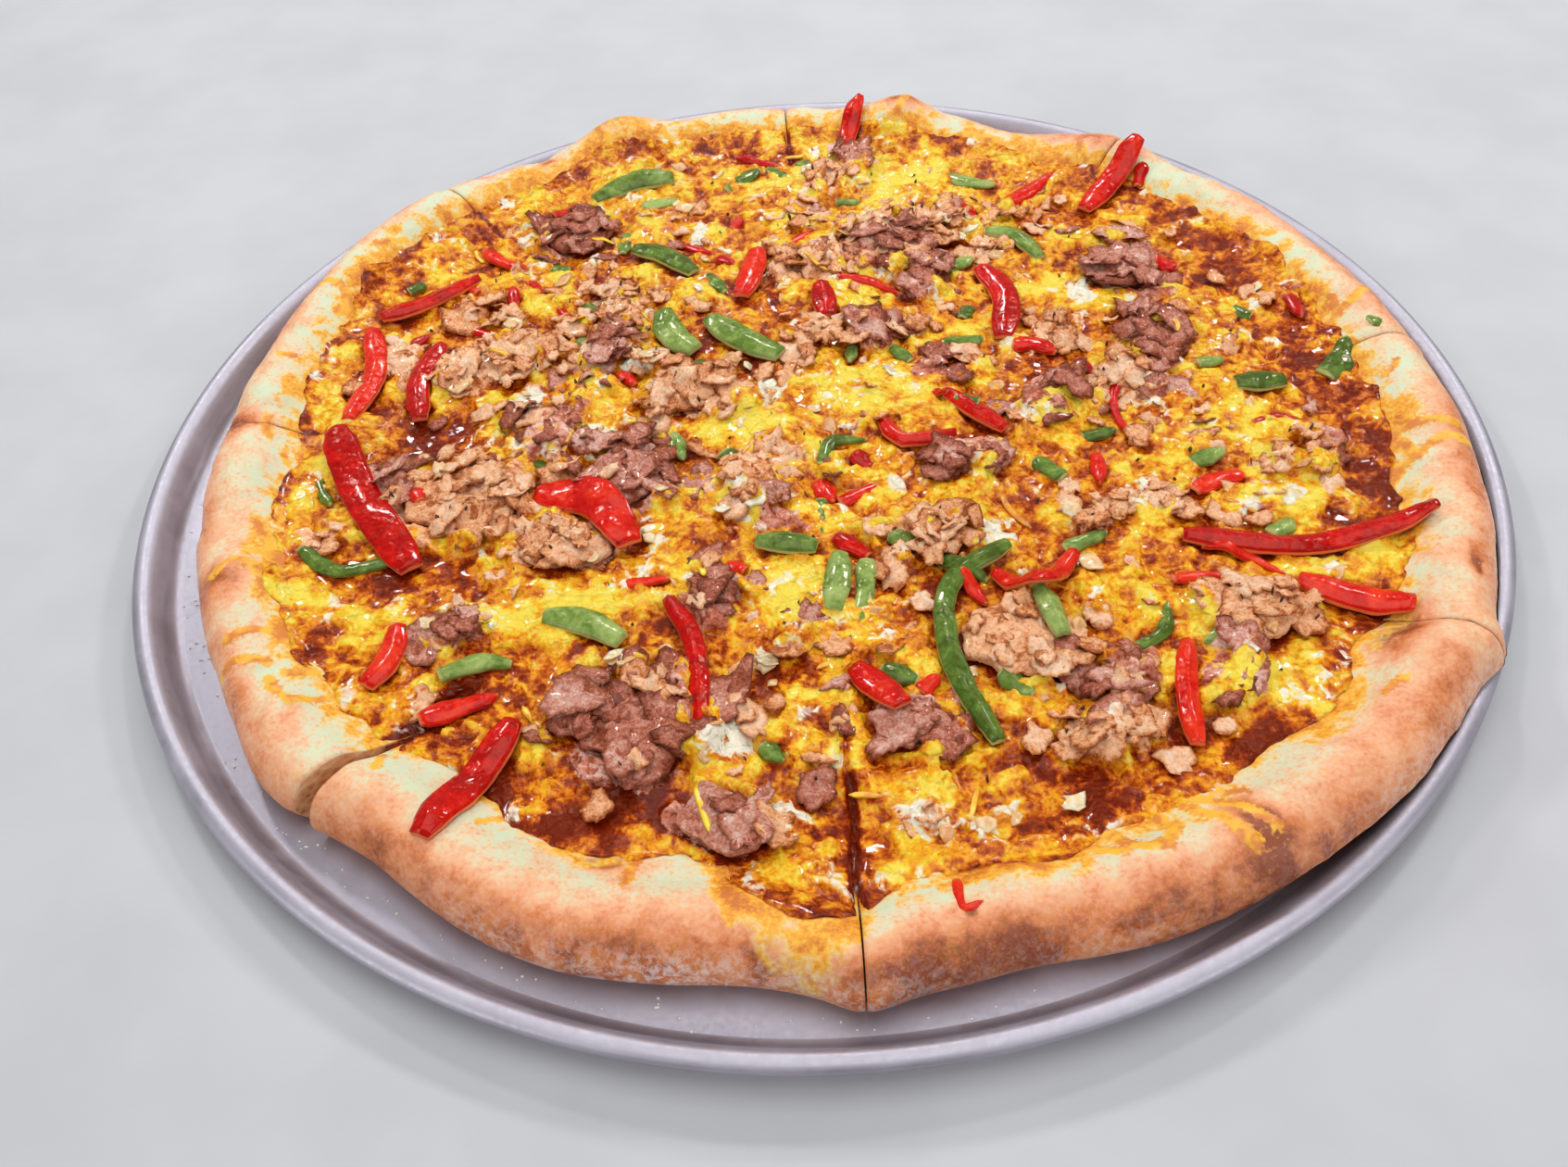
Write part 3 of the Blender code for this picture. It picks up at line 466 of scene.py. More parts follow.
def above_pan(x, y, height):
    """The height, or more where the wall and the lip of the pan are in the way."""
    rise = (np.hypot(x, y) - PAN_REST_START) / (PAN_REST_END - PAN_REST_START)
    rest = PAN_SHEET + (PAN_REST_HEIGHT - PAN_SHEET) * np.clip(rise, 0.0, 1.0)
    return np.maximum(height, rest + CLEARANCE)


def dough_height(x, y):
    """Upper surface of the dough, rim and flat middle."""
    angle, radius = polar(x, y)
    inset = edge_radius(angle) - radius
    share = np.interp(inset, INNER_CURVE[:, 0], INNER_CURVE[:, 1])
    crest = crest_height(angle)
    rim = share * crest + RIM_LUMP * share * lump(x, y, RIM_LUMP_SPACING, 3.0)
    foot = RIM_SECTION[-1][0]
    fall = np.clip((inset - foot) / (RIM_INNER_FOOT - foot), 0.0, 1.0)
    return np.where(inset < foot, rim, rim + (DOUGH_TOP - rim) * fall)


def cheese_height(x, y):
    """Upper surface of the cheese where no piece of topping lies on it."""
    angle, radius = polar(x, y)
    reach = cheese_reach(angle)
    dome = CHEESE_DOME * (1.0 - (radius / EDGE_RADIUS) ** 2)
    level = CHEESE_TOP + dome + CHEESE_LUMP * lump(x, y, CHEESE_LUMP_SPACING, 9.0)
    share = eased(np.clip((reach - radius) / CHEESE_SHOULDER, 0.0, 1.0))
    edge_top = dough_height(*on_plan(angle, reach)) + 1.6
    return np.maximum(dough_height(x, y) + 0.9, edge_top + (level - edge_top) * share)


def add_object(name, data):
    """New object in the scene."""
    made = bpy.data.objects.new(name, data)
    bpy.context.scene.collection.objects.link(made)
    return made


def set_values(mesh, values):
    """Named values at the points of a mesh."""
    for key, numbers in values.items():
        layer = mesh.attributes.new(key, "FLOAT", "POINT")
        layer.data.foreach_set("value", np.asarray(numbers, dtype=np.float32))


def put_mesh(name, points, faces, material, values=None):
    """Piece from points in millimetres, with named values at its points."""
    mesh = bpy.data.meshes.new(name)
    points = np.asarray(points, dtype=float).copy()
    points[:, 2] = np.minimum(points[:, 2], TOP_LIMIT)
    mesh.from_pydata((points * MM).tolist(), [], [list(map(int, face)) for face in faces])
    mesh.update()
    mesh.shade_smooth()
    set_values(mesh, values or {})
    mesh.materials.append(material)
    piece = add_object(name, mesh)
    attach(piece, "root")
    return piece


def grid_faces(rows, columns, around=False):
    """Quads between rows of points, closed round where asked."""
    faces = []
    reach = columns if around else columns - 1
    for i in range(rows - 1):
        for j in range(reach):
            k = (j + 1) % columns
            faces.append((i * columns + j, i * columns + k, (i + 1) * columns + k, (i + 1) * columns + j))
    return faces


class Shader:
    """Material made of nodes, with short calls for what most of the materials share."""

    def __init__(self, name, roughness, metallic=0.0, specular=None, coat=None, soft=None):
        self.material = bpy.data.materials.new(name)
        self.material.use_nodes = True
        self.tree = self.material.node_tree
        self.surface = self.tree.nodes["Principled BSDF"]
        fixed = {"Roughness": roughness, "Metallic": metallic}
        if specular:
            fixed["Specular IOR Level"], fixed["Specular Tint"] = specular
        if coat:
            fixed["Coat Weight"], fixed["Coat Roughness"] = coat
        if soft:
            fixed["Subsurface Weight"], fixed["Subsurface Scale"] = soft[0], soft[1] * MM
            self.surface.inputs["Subsurface Radius"].default_value = soft[2]
        for key, value in fixed.items():
            self.link(value, self.surface, key)
        self.place = self.node("TexCoord").outputs["Object"]

    def link(self, source, node, key):
        """Connect a socket, or set a plain value or colour."""
        if isinstance(source, bpy.types.NodeSocket):
            self.tree.links.new(source, node.inputs[key])
        else:
            node.inputs[key].default_value = (*source, 1.0) if isinstance(source, tuple) else source

    def node(self, kind, inputs=None, **settings):
        """New node with its settings and inputs."""
        node = self.tree.nodes.new("ShaderNode" + kind)
        for key, value in settings.items():
            setattr(node, key, value)
        for key, source in (inputs or {}).items():
            self.link(source, node, key)
        return node

    def noise(self, size, detail=3.0, distortion=0.0, roughness=0.55):
        """Noise with features of a size in millimetres, from 0 to 1."""
        return self.node("TexNoise", {
            "Vector": self.place, "Scale": 1.0 / (size * MM), "Detail": detail, "Roughness": roughness,
            "Distortion": distortion,
        }).outputs["Fac"]

    def cells(self, size):
        """Distance to the nearest of scattered points, a size in millimetres apart."""
        return self.node("TexVoronoi", {"Vector": self.place, "Scale": 1.0 / (size * MM)}).outputs["Distance"]

    def value(self, key):
        """Named value of the mesh."""
        return self.node("Attribute", attribute_name=key).outputs["Fac"]

    def span(self, source, low, high, out_low=0.0, out_high=1.0):
        """Source stretched from one range to another, smooth and clamped."""
        inputs = {"Value": source, "From Min": low, "From Max": high, "To Min": out_low, "To Max": out_high}
        return self.node("MapRange", inputs, interpolation_type="SMOOTHSTEP").outputs["Result"]

    def add(self, a, b):
        """Sum of two values."""
        return self.node("Math", {0: a, 1: b}, operation="ADD").outputs[0]

    def times(self, a, b):
        """Product of two values."""
        return self.node("Math", {0: a, 1: b}, operation="MULTIPLY").outputs[0]

    def stirred(self, source, cloud, down, up=None, low=0.3, high=0.7):
        """Source moved down and up by a noise, evenly unless told how far up."""
        return self.add(source, self.span(cloud, low, high, -down, down if up is None else up))

    def mix(self, share, a, b):
        """Blend of two colours."""
        return self.node("Mix", {0: share, 6: a, 7: b}, data_type="RGBA").outputs[2]

    def ramp(self, source, stops):
        """Colour from a value, by stops of place and colour."""
        node = self.node("ValToRGB", {"Fac": source})
        steps = node.color_ramp.elements
        while len(steps) < len(stops):
            steps.new(0.5)
        for step, (place, colour) in zip(steps, stops):
            step.position = place
            step.color = (*colour, 1.0)
        return node.outputs["Color"]

    def finish(self, colour, roughness=None, relief=None, depth=1.0, strength=1.0):
        """Material with its colour, roughness and fine relief, whose depth is in millimetres."""
        self.link(colour, self.surface, "Base Color")
        if roughness is not None:
            self.link(roughness, self.surface, "Roughness")
        if relief is not None:
            bump = self.node("Bump", {"Strength": strength, "Distance": depth * MM, "Height": relief})
            self.link(bump.outputs["Normal"], self.surface, "Normal")
        return self.material


def pan_material():
    """Dull rolled aluminium with fine scratches and faint stains."""
    shader = Shader("aluminium", 0.55, metallic=0.85)
    stain, fine = shader.noise(38.0, 4.0, 0.6), shader.noise(1.6, 4.0)
    colour = shader.mix(shader.span(stain, 0.35, 0.7), (0.42, 0.395, 0.45), (0.50, 0.475, 0.54))
    return shader.finish(colour, shader.span(shader.add(stain, fine), 0.7, 1.3, 0.46, 0.62), fine, 0.03, 0.5)


def crust_material():
    """Baked dough: pale, toasted in patches, stained by the cheese's oil, threaded and dusted with flour."""
    shader = Shader("crust", 0.62, soft=(0.12, 4.0, (1.0, 0.6, 0.3)))
    wide, middle, fine = shader.noise(22.0, 3.0, 0.4), shader.noise(6.0, 4.0, 0.3), shader.noise(1.3, 3.0)
    toast = shader.value("toast")
    for cloud, down, up in ((wide, 0.14, 0.22), (middle, 0.10, 0.12), (fine, 0.09, 0.11)):
        toast = shader.stirred(toast, cloud, down, up, high=0.75)
    soaked = shader.value("oil")
    oil = shader.stirred(shader.stirred(soaked, middle, 0.45), wide, 0.35, 0.30)
    stain = shader.ramp(shader.span(shader.stirred(oil, fine, 0.3), -0.2, 2.0), STAIN_TONES)
    share = shader.times(shader.span(oil, 0.0, 0.8), shader.span(soaked, 0.0, 0.3))
    colour = shader.mix(share, shader.ramp(toast, CRUST_TONES), stain)
    browned = shader.mix(shader.span(middle, 0.42, 0.62), (0.88, 0.45, 0.03), (0.66, 0.20, 0.025))
    thread = shader.stirred(shader.value("thread"), fine, 0.3)
    colour = shader.mix(shader.span(thread, 0.10, 0.62), colour, browned)
    flour = shader.times(shader.value("flour"), shader.span(shader.noise(2.2, 5.0, 0.5, 0.7), 0.42, 0.62))
    colour = shader.mix(shader.times(flour, 0.65), colour, (0.90, 0.84, 0.82))
    relief = shader.add(middle, shader.times(fine, 0.5))
    return shader.finish(colour, shader.span(toast, 0.2, 0.8, 0.66, 0.45), relief, 0.55, 0.55)


def bread_material():
    """Torn inside of the dough at a cut, with painted shade in its holes."""
    shader = Shader("bread", 0.8)
    shaded_holes = shader.cells(2.6)
    # Darker near the cells' points, where the bump sinks: painted shade in the crumb's holes.
    return shader.finish(shader.ramp(shaded_holes, BREAD_TONES), None, shaded_holes, 0.9, 0.8)


def meat_colour_with_shade(shader, middle, fine, tint, edge, tones):
    """Colour of cooked meat, with painted shade along its edges and in its folds, where the edge value is high.
    """
    mixed = shader.add(shader.times(middle, 0.6), shader.times(fine, 0.35))
    mixed = shader.add(mixed, shader.times(tint, 0.18))
    # The edge value pulls the ramp down: painted shade in folds and in the gaps between flakes.
    return shader.ramp(shader.add(mixed, shader.span(edge, 0.6, 1.0, 0.0, -0.13)), tones)


def cheese_material():
    """Melted cheddar and mozzarella over brown sauce, with meat that shows through."""
    shader = Shader("cheese", 0.3, specular=(0.22, (1.0, 0.55, 0.2)), coat=(0.22, 0.05),
                    soft=(0.1, 2.0, (1.0, 0.5, 0.1)))
    wide, middle = shader.noise(10.0, 3.0, 0.6), shader.noise(4.5, 4.0, 0.9, 0.55)
    fine, grained = shader.noise(1.3, 4.0, 0.4, 0.65), shader.noise(0.9, 4.0, 0.6, 0.65)
    melt = shader.value("melt")
    for cloud, amount in ((wide, 0.38), (middle, 0.40), (fine, 0.20)):
        melt = shader.stirred(melt, cloud, amount)
    colour = shader.ramp(shader.span(melt, -1.0, 1.2), CHEESE_TONES)
    for key, tones in (("chicken", CHICKEN_TONES), ("steak", STEAK_TONES)):
        # The border value darkens the painted meat between its scales: painted shade in the gaps between
        # flakes.
        meat = meat_colour_with_shade(shader, middle, grained, shader.value("number"), shader.value("border"), tones)
        shown = shader.stirred(shader.value(key), fine, 0.25)
        colour = shader.mix(shader.span(shown, 0.35, 0.6), colour, meat)
    pale = shader.stirred(shader.value("white"), middle, 0.25, low=0.35)
    colour = shader.mix(shader.span(pale, 0.20, 0.52), colour, (0.82, 0.76, 0.60))
    relief = shader.add(shader.noise(3.4, 1.0, 0.6), shader.times(fine, 0.15))
    return shader.finish(colour, shader.span(middle, 0.3, 0.7, 0.10, 0.34), relief, 2.4, 0.9)


def melted_material(name, roughness, coat, soft, cloud, amount, tones, relief, depth):
    """Melted threads of cheese or soft onion, each piece with its own tint."""
    shader = Shader(name, roughness, coat=coat, soft=soft)
    mixed = shader.stirred(shader.value("tint"), shader.noise(cloud, 4.0), amount)
    return shader.finish(shader.ramp(mixed, tones), None, shader.noise(relief, 3.0), depth, 0.5)


def meat_material(name, tones, specular_tint, coat, soft, middle, fine, gloss, relief):
    """Cooked meat, moist, with painted shade in its folds and at its edges."""
    shader = Shader(name, 0.3, specular=(0.35, specular_tint), coat=(coat, 0.05), soft=soft)
    middle, fine = shader.noise(*middle), shader.noise(*fine)
    # The "edge" value paints shade into the meat's folds and along its edges.
    colour = meat_colour_with_shade(shader, middle, fine, shader.value("tint"), shader.value("edge"), tones)
    share, depth, strength = relief
    height = shader.add(middle, shader.times(fine, share))
    return shader.finish(colour, shader.span(fine, 0.3, 0.7, *gloss), height, depth, strength)


def pepper_material(name, dark, plain, light, flesh):
    """Wet pepper: glossy skin that pales towards its cut flesh."""
    shader = Shader(name, 0.2, specular=(0.22, (1.0, 0.6, 0.4)), coat=(0.2, 0.04),
                    soft=(0.06, 2.0, (1.0, 0.4, 0.2)))
    wide, fine = shader.noise(9.0, 3.0, 0.5), shader.noise(1.8, 4.0, 0.3)
    mixed = shader.add(shader.times(wide, 0.7), shader.times(fine, 0.3))
    mixed = shader.stirred(mixed, shader.value("tint"), 0.12, low=0.0, high=1.0)
    skin = shader.ramp(mixed, ((0.34, dark), (0.5, plain), (0.7, light)))
    colour = shader.mix(shader.span(shader.value("flesh"), 0.3, 0.9), skin, flesh)
    relief = shader.noise(3.0, 1.0, 0.5)
    return shader.finish(colour, shader.span(fine, 0.3, 0.7, 0.12, 0.32), relief, 0.9, 0.5)


def dry_material(name, roughness, size, tones):
    """Dry crumbs with grains of a size in millimetres."""
    shader = Shader(name, roughness)
    return shader.finish(shader.ramp(shader.noise(size, 2.0), tones))


def make_pan():
    """Pan turned with fine radial marks pressed into its lip."""
    section = smooth_section(PAN_SECTION, 2)
    section[:, 0] = np.minimum(section[:, 0], PAN_RADIUS)
    section[:, 1] = np.clip(section[:, 1], 0.0, PAN_HEIGHT)
    columns = PAN_MARKS * 2
    turn = 2.0 * math.pi * np.arange(columns) / columns
    on_lip = np.exp(-((section[:, 0] - PAN_LIP_RADIUS) / PAN_LIP_HALF_WIDTH) ** 4)
    on_lip = on_lip * (section[:, 1] > PAN_LIP_BOTTOM)
    dent = PAN_MARK_DEPTH * on_lip[:, None] * (np.arange(columns) % 2)[None, :]
    radius = section[:, 0][:, None] - 0.4 * dent
    height = section[:, 1][:, None] - dent
    points = np.stack((radius * np.cos(turn), radius * np.sin(turn), height), -1).reshape(-1, 3)
    faces = grid_faces(len(section), columns, around=True)
    last = (len(section) - 1) * columns
    faces += [tuple(range(columns))[::-1], tuple(range(last, last + columns))]
    pan = put_mesh("pan_body", points, faces, pan_material())
    for polygon in pan.data.polygons[len(faces) - 2:]:
        polygon.use_smooth = False
    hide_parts("pan")


def random_route(x, y, length, chance, steps):
    """Short curling path on the plan."""
    heading = chance.uniform(0.0, 2.0 * math.pi)
    curl = chance.uniform(-0.16, 0.16) * 8.0 / steps
    route = []
    for _ in range(steps):
        route.append((x, y))
        x += math.cos(heading) * length / steps
        y += math.sin(heading) * length / steps
        heading += curl + chance.uniform(-0.2, 0.2)
    return route


def short_routes():
    """Short curling threads spread round the bare rim."""
    chance = random.Random(21)
    routes = []
    for k in range(SHORT_THREADS):
        angle = 360.0 * (k + chance.random()) / SHORT_THREADS
        x, y = on_plan(angle, edge_radius(angle) - rim_width(angle) * chance.uniform(0.5, 1.0))
        routes.append((chance.uniform(1.2, 1.8), random_route(x, y, chance.uniform(6.0, 15.0), chance, 4)))
    return routes


RIM_ROUTES = [*RIM_THREADS, *short_routes()]


def rim_threads(x, y):
    """Share of the melted cheese threads that are baked onto the bare rim."""
    total = np.zeros_like(x)
    x = x + 0.9 * grain(x, y, 4.0, 46)
    y = y + 0.9 * grain(x, y, 4.0, 47)
    for width, route in RIM_ROUTES:
        path = smooth_section(route, 4)
        for (ax, ay), (bx, by) in zip(path, path[1:]):
            length = math.hypot(bx - ax, by - ay)
            along = np.clip(((x - ax) * (bx - ax) + (y - ay) * (by - ay)) / length ** 2, 0.0, 1.0)
            off = np.hypot(x - ax - along * (bx - ax), y - ay - along * (by - ay))
            total = np.maximum(total, np.exp(-(off / width) ** 2.5))
    return total


def cut_shift(angle, radius):
    """Half width of the cut at each end of a slice, wider where the cut gapes."""
    shift = np.full_like(radius, CUT_WIDTH / 2.0)
    if abs(wrapped(angle - OPEN_CUT)) < 0.01:
        spread = np.clip((radius - OPEN_CUT_START) / (EDGE_RADIUS - OPEN_CUT_START), 0.0, 2.0)
        shift = (CUT_WIDTH + (OPEN_CUT_WIDTH - CUT_WIDTH) * spread ** 2) / 2.0
    return shift


def crust_values(points):
    """Toast, flour, stain of oil and threads at the points of the dough."""
    x, y = points[:, 0], points[:, 1]
    direction, distance = polar(x, y)
    inward = edge_radius(direction) - distance
    under = np.clip((9.0 - points[:, 2]) / 6.0, 0.0, 1.0) * (inward < 6.0)
    outward = inward - 7.0 * under
    front = 0.55 + 0.45 * np.cos(np.radians(direction - BROWNED_SIDE))
    foot = np.exp(-(np.maximum(outward + 2.0, 0.0) / (9.0 + 5.0 * front)) ** 2)
    toast = TOAST_DEPTH * foot * (0.5 + 0.6 * front)
    toast += 0.12 * np.exp(-((inward - 33.0) / 6.0) ** 2)
    toast += 0.08 + 0.08 * front
    ragged = grain(x, y, 5.0, 41, 2)
    for centre, place, wide, deep, strength in TOAST_PATCHES:
        across = (wrapped(direction - centre) + 0.9 * ragged) / wide
        along = (outward - place + 2.0 * ragged) / deep
        toast += strength * TOAST_DEPTH * np.exp(-across ** 2 - along ** 2)
    flour = bumps(direction, FLOUR_PATCHES) * np.exp(-(np.maximum(outward + 1.0, 0.0) / 4.5) ** 2)
    glow = inward - rim_width(direction) + 1.1 * bumps(direction, SPILLS)
    oil = np.clip((glow + 9.0 + 4.0 * grain(x, y, 9.0, 43, 3)) / 10.0, 0.0, 1.0)
    return {"toast": toast, "flour": flour, "oil": oil, "thread": rim_threads(x, y)}


def crust_faces(count, size):
    """Faces between the columns of a slice and the two points of its tip, with its two cuts last."""
    faces = []
    for i in range(count):
        this, following = 2 + i * size, 2 + (i + 1) * size
        faces.append((0, following, this))
        for k in range(size - 1):
            faces.append((this + k, following + k, following + k + 1, this + k + 1))
        faces.append((1, this + size - 1, following + size - 1))
    last = 2 + count * size
    return faces + [[0, *range(2, 2 + size), 1], [1, *reversed(range(last, last + size)), 0]]


def make_crust_slice(number, start, end, crust, bread):
    """Dough of one slice: blistered rim, flat middle and torn faces at its cuts."""
    count = round((end - start) * CRUST_COLUMNS)
    angle = np.linspace(start, end, count + 1)[:, None]
    turn = np.radians(angle)
    edge = edge_radius(angle)
    inset = RIM_CURVE[:, 0][None, :]
    share = RIM_CURVE[:, 1][None, :]
    radius = edge - inset
    x, y = on_plan(angle, radius)
    height = share * crest_height(angle) + RIM_LUMP * share * lump(x, y, RIM_LUMP_SPACING, 3.0)

    from_cut = np.minimum(angle - start, end - angle) * np.radians(radius)
    swell = rim_swell(x, y, share) - 0.9 * np.clip(1.0 - from_cut / 3.0, 0.0, 1.0) ** 2
    swell = swell + 0.45 * rim_threads(x, y) * np.clip(share * 1.4 - 0.3, 0.0, 1.0)
    out = np.clip((8.0 - inset) / 8.0, 0.0, 1.0) * np.clip(1.2 - share, 0.0, 1.0)
    radius = radius + swell * out * 0.7
    height = height + swell * (1.0 - 0.6 * out)

    floor = PAN_SHEET + CLEARANCE
    last_height = height[:, -1:]
    steps = np.linspace(0.0, 1.0, 9)[1:]
    inner_insets = [RIM_SECTION[-1][0] + (RIM_INNER_FOOT - RIM_SECTION[-1][0]) * step for step in steps]
    inner_heights = [last_height + (DOUGH_TOP - last_height) * step for step in steps]
    radius = np.hstack([edge - foot for foot in RIM_FEET] + [radius] + [edge - at for at in inner_insets])
    height = np.hstack([np.full_like(edge, floor) for _ in RIM_FEET] + [height] + inner_heights)
    side = np.zeros_like(radius)
    side[0] = cut_shift(start, radius[0])
    side[-1] = -cut_shift(end, radius[-1])
    # The columns next to an open cut move with it so that none of them cross.
    for k in range(1, OPEN_CUT_COLUMNS):
        fade = 1.0 - k / OPEN_CUT_COLUMNS
        side[k] = side[0] * fade
        side[-1 - k] = side[-1] * fade
    x, y = on_plan(angle, radius)
    x, y = x - side * np.sin(turn), y + side * np.cos(turn)
    height = above_pan(x, y, height)

    tip = on_plan((start + end) / 2.0, CUT_WIDTH / 2.0 / math.sin(math.radians((end - start) / 2.0)))
    points = np.vstack((((*tip, floor), (*tip, DOUGH_TOP)), np.stack((x, y, height), -1).reshape(-1, 3)))
    faces = crust_faces(count, radius.shape[1])
    slice_piece = put_mesh(f"crust_{number}", points, faces, crust, crust_values(points))
    slice_piece.data.materials.append(bread)
    for polygon in slice_piece.data.polygons[len(faces) - 2:]:
        polygon.material_index = 1
        polygon.use_smooth = False
    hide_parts(f"crust_slice_{number}")


def disc_grid(steps):
    """Points of a square grid pulled to a unit disc, so that its rows follow the border."""
    line = np.linspace(-1.0, 1.0, steps)
    a, b = np.meshgrid(line, line, indexing="ij")
    wide = np.abs(a) > np.abs(b)
    reach = np.where(wide, a, b)
    other = np.where(wide, b, a)
    safe = np.where(np.abs(reach) < 1e-9, 1.0, reach)
    turn = math.pi / 4.0 * other / safe
    u = np.where(wide, reach * np.cos(turn), reach * np.sin(turn))
    v = np.where(wide, reach * np.sin(turn), reach * np.cos(turn))
    return u, v


def cut_depth(x, y):
    """How deep the cuts still show in the cheese: deep at the front and in the open cut."""
    angle, radius = polar(x, y)
    depth = np.zeros_like(x)
    for centre, begin, deep, wide in CUT_MARKS:
        away = wrapped(angle - centre)
        off = radius * np.sin(np.radians(away)) + 0.8 * grain(x, y, 8.0, 61)
        shows = np.clip((radius - begin) / 12.0, 0.0, 1.0) * (np.abs(away) < 60.0)
        depth = np.maximum(depth, deep * shows * np.exp(-(off / wide) ** 2))
    return depth


def melt_depth(x, y, sauce, field, slabs):
    """How thick the melted cheese lies: above 0 it covers what is under it."""
    depth = 0.65 * patches(x, y, CHEDDAR_PATCHES, 6.0, 72) + 0.85 * grain(x, y, 11.0, 54, 3)
    depth = depth + 0.40 * grain(x, y, 4.0, 55, 2) + 0.16 - 0.85 * sauce
    depth = depth + 0.25 * np.clip((y - 110.0) / 50.0, 0.0, 1.0)
    return depth - 0.8 * field.sample(x, y, blurred(field.taken.astype(float), 1.6)) - 1.5 * slabs


def painted_meat(x, y, bare):
    """Flakes of meat in the cheese's own surface: their shares, borders (where shade is painted between them),
    numbers and relief.
    """
    bent_x, bent_y = x + 2.2 * grain(x, y, 5.0, 81), y + 2.2 * grain(x, y, 5.0, 82)
    meats = {}
    kinds = (("chicken", CHICKEN_PATCHES, 75, 0.56), ("steak", STEAK_PATCHES, 77, 0.58))
    for key, where, seed, least in kinds:
        meat = patches(x, y, where, 7.0, seed) + 0.45 * grain(x, y, 7.0, seed + 1, 3)
        meats[key] = np.clip((meat - least) / 0.25, 0.0, 1.0) * bare
    wide, narrow = scales(bent_x, bent_y * 0.7, 8.5, 84), scales(bent_x, bent_y, 6.0, 83)
    border, number, rise = np.where(meats["steak"] > meats["chicken"], wide, narrow)
    relief = 1.0 + 0.8 * (number - 0.5) + 1.3 * rise - 0.9 * (1.0 - border) ** 2
    return meats, border, number, relief


def closed_grid(points, steps, floor):
    """Square grid with a wall down to a floor: its points, its faces and the index of its border."""
    faces = [face[::-1] for face in grid_faces(steps, steps)]
    index = np.arange(steps * steps).reshape(steps, steps)
    rim = [*index[0, :-1], *index[:-1, -1], *index[-1, :0:-1], *index[:0:-1, 0]]
    low_rim = points[rim].copy()
    low_rim[:, 2] = floor
    start = len(points)
    for i in range(len(rim)):
        j = (i + 1) % len(rim)
        faces.append((rim[i], rim[j], start + j, start + i))
    faces.append(tuple(range(start, start + len(rim)))[::-1])
    return np.vstack((points, low_rim)), faces, rim


def make_cheese(field):
    """Cheese and sauce over the whole middle, melted over the heap, with the cuts that still show."""
    u, v = disc_grid(CHEESE_STEPS)
    angle = np.degrees(np.arctan2(v, u))
    round_x, round_y = FRINGE_RING * np.cos(np.radians(angle)), FRINGE_RING * np.sin(np.radians(angle))
    fringe = 5.5 * grain(round_x, round_y, 13.0, 51, 4) + 0.55 * bumps(angle, SPILLS)
    reach = cheese_reach(angle) + 1.5 + fringe
    x, y = CENTRE_X + u * reach, CENTRE_Y + v * reach
    share = np.hypot(u, v)
    inside = np.clip((1.0 - share) / 0.06, 0.0, 1.0)
    sauce = patches(x, y, SAUCE_PATCHES, 7.0, 71)
    white = patches(x, y, WHITE_PATCHES, 4.0, 73) + 1.1 * np.clip(grain(x, y, 9.0, 74, 3) - 0.20, 0.0, 1.0)
    slabs = field.sample(x, y, blurred(field.slabs, 1.2))
    melt = melt_depth(x, y, sauce, field, slabs)
    meats, border, number, relief = painted_meat(x, y, np.clip(1.0 - (melt - 0.35) / 0.35, 0.0, 1.0) * inside)
    meat = np.maximum(meats["chicken"], meats["steak"]) * np.clip(1.0 - 1.5 * slabs, 0.0, 1.0)

    ground = field.sample(x, y, field.base)
    heap = field.sample(x, y, blurred(field.cells, 2.4))
    cover = eased(np.clip((melt + 0.10) / 0.45, 0.0, 1.0))
    low = ground - 1.1 + 0.5 * grain(x, y, 6.0, 52, 3) - 0.8 * sauce
    high = np.maximum(heap, ground) + 0.5 * grain(x, y, 5.0, 53, 3) + 0.5 * np.clip(white, 0.0, 1.0)
    high = high + 1.3 * np.sqrt(np.abs(grain(x, y, 6.0, 56, 2)))
    height = ground + ((low + (high - low) * cover) - ground) * inside
    height = height + meat * (np.maximum(heap - height, 0.0) * 0.8 + relief)
    direction, distance = polar(x, y)
    rim_share = np.interp(edge_radius(direction) - distance, INNER_CURVE[:, 0], INNER_CURVE[:, 1], right=0.0)
    base = dough_height(x, y) + rim_swell(x, y, rim_share)
    taper = np.sqrt(np.clip((1.0 - share) / 0.025, 0.0, 1.0))
    height = base + 0.25 + np.maximum(height - base - 0.25, 0.4) * (0.25 + 0.75 * taper)
    cut = cut_depth(x, y)
    points = np.stack((x, y, np.maximum(height - cut, base - 1.0)), -1).reshape(-1, 3)
    field.add_points(points, take=False)

    # The cuts also pull the colour towards the dark sauce end of the ramp: painted shade in their grooves.
    melt = np.clip(melt, -0.8, 1.2) - 1.2 * np.clip(cut, 0.0, 1.0) - 0.35 * (1.0 - inside)
    # The border value is high in the gaps between painted flakes, where the material paints shade.
    values = {"melt": melt, "white": white * (cover > 0.3), "number": number, "border": 1.0 - border, **meats}
    points, faces, rim = closed_grid(points, CHEESE_STEPS, DOUGH_TOP - 1.0)
    values = {key: np.concatenate((a.ravel(), a.ravel()[rim])) for key, a in values.items()}
    cheese = put_mesh("cheese", points, faces, cheese_material(), values)
    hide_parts(*(f"cheese_slice_{i}" for i in range(1, len(CUT_ANGLES) + 1)))


def blurred(cells, reach):
    """Cells smoothed by a bell with a half width in millimetres."""
    line = np.arange(-3 * int(reach + 1), 3 * int(reach + 1) + 1)
    bell = np.exp(-(line / reach) ** 2)
    bell /= bell.sum()
    for axis in (0, 1):
        cells = np.apply_along_axis(np.convolve, axis, cells, bell, mode="same")
    return cells


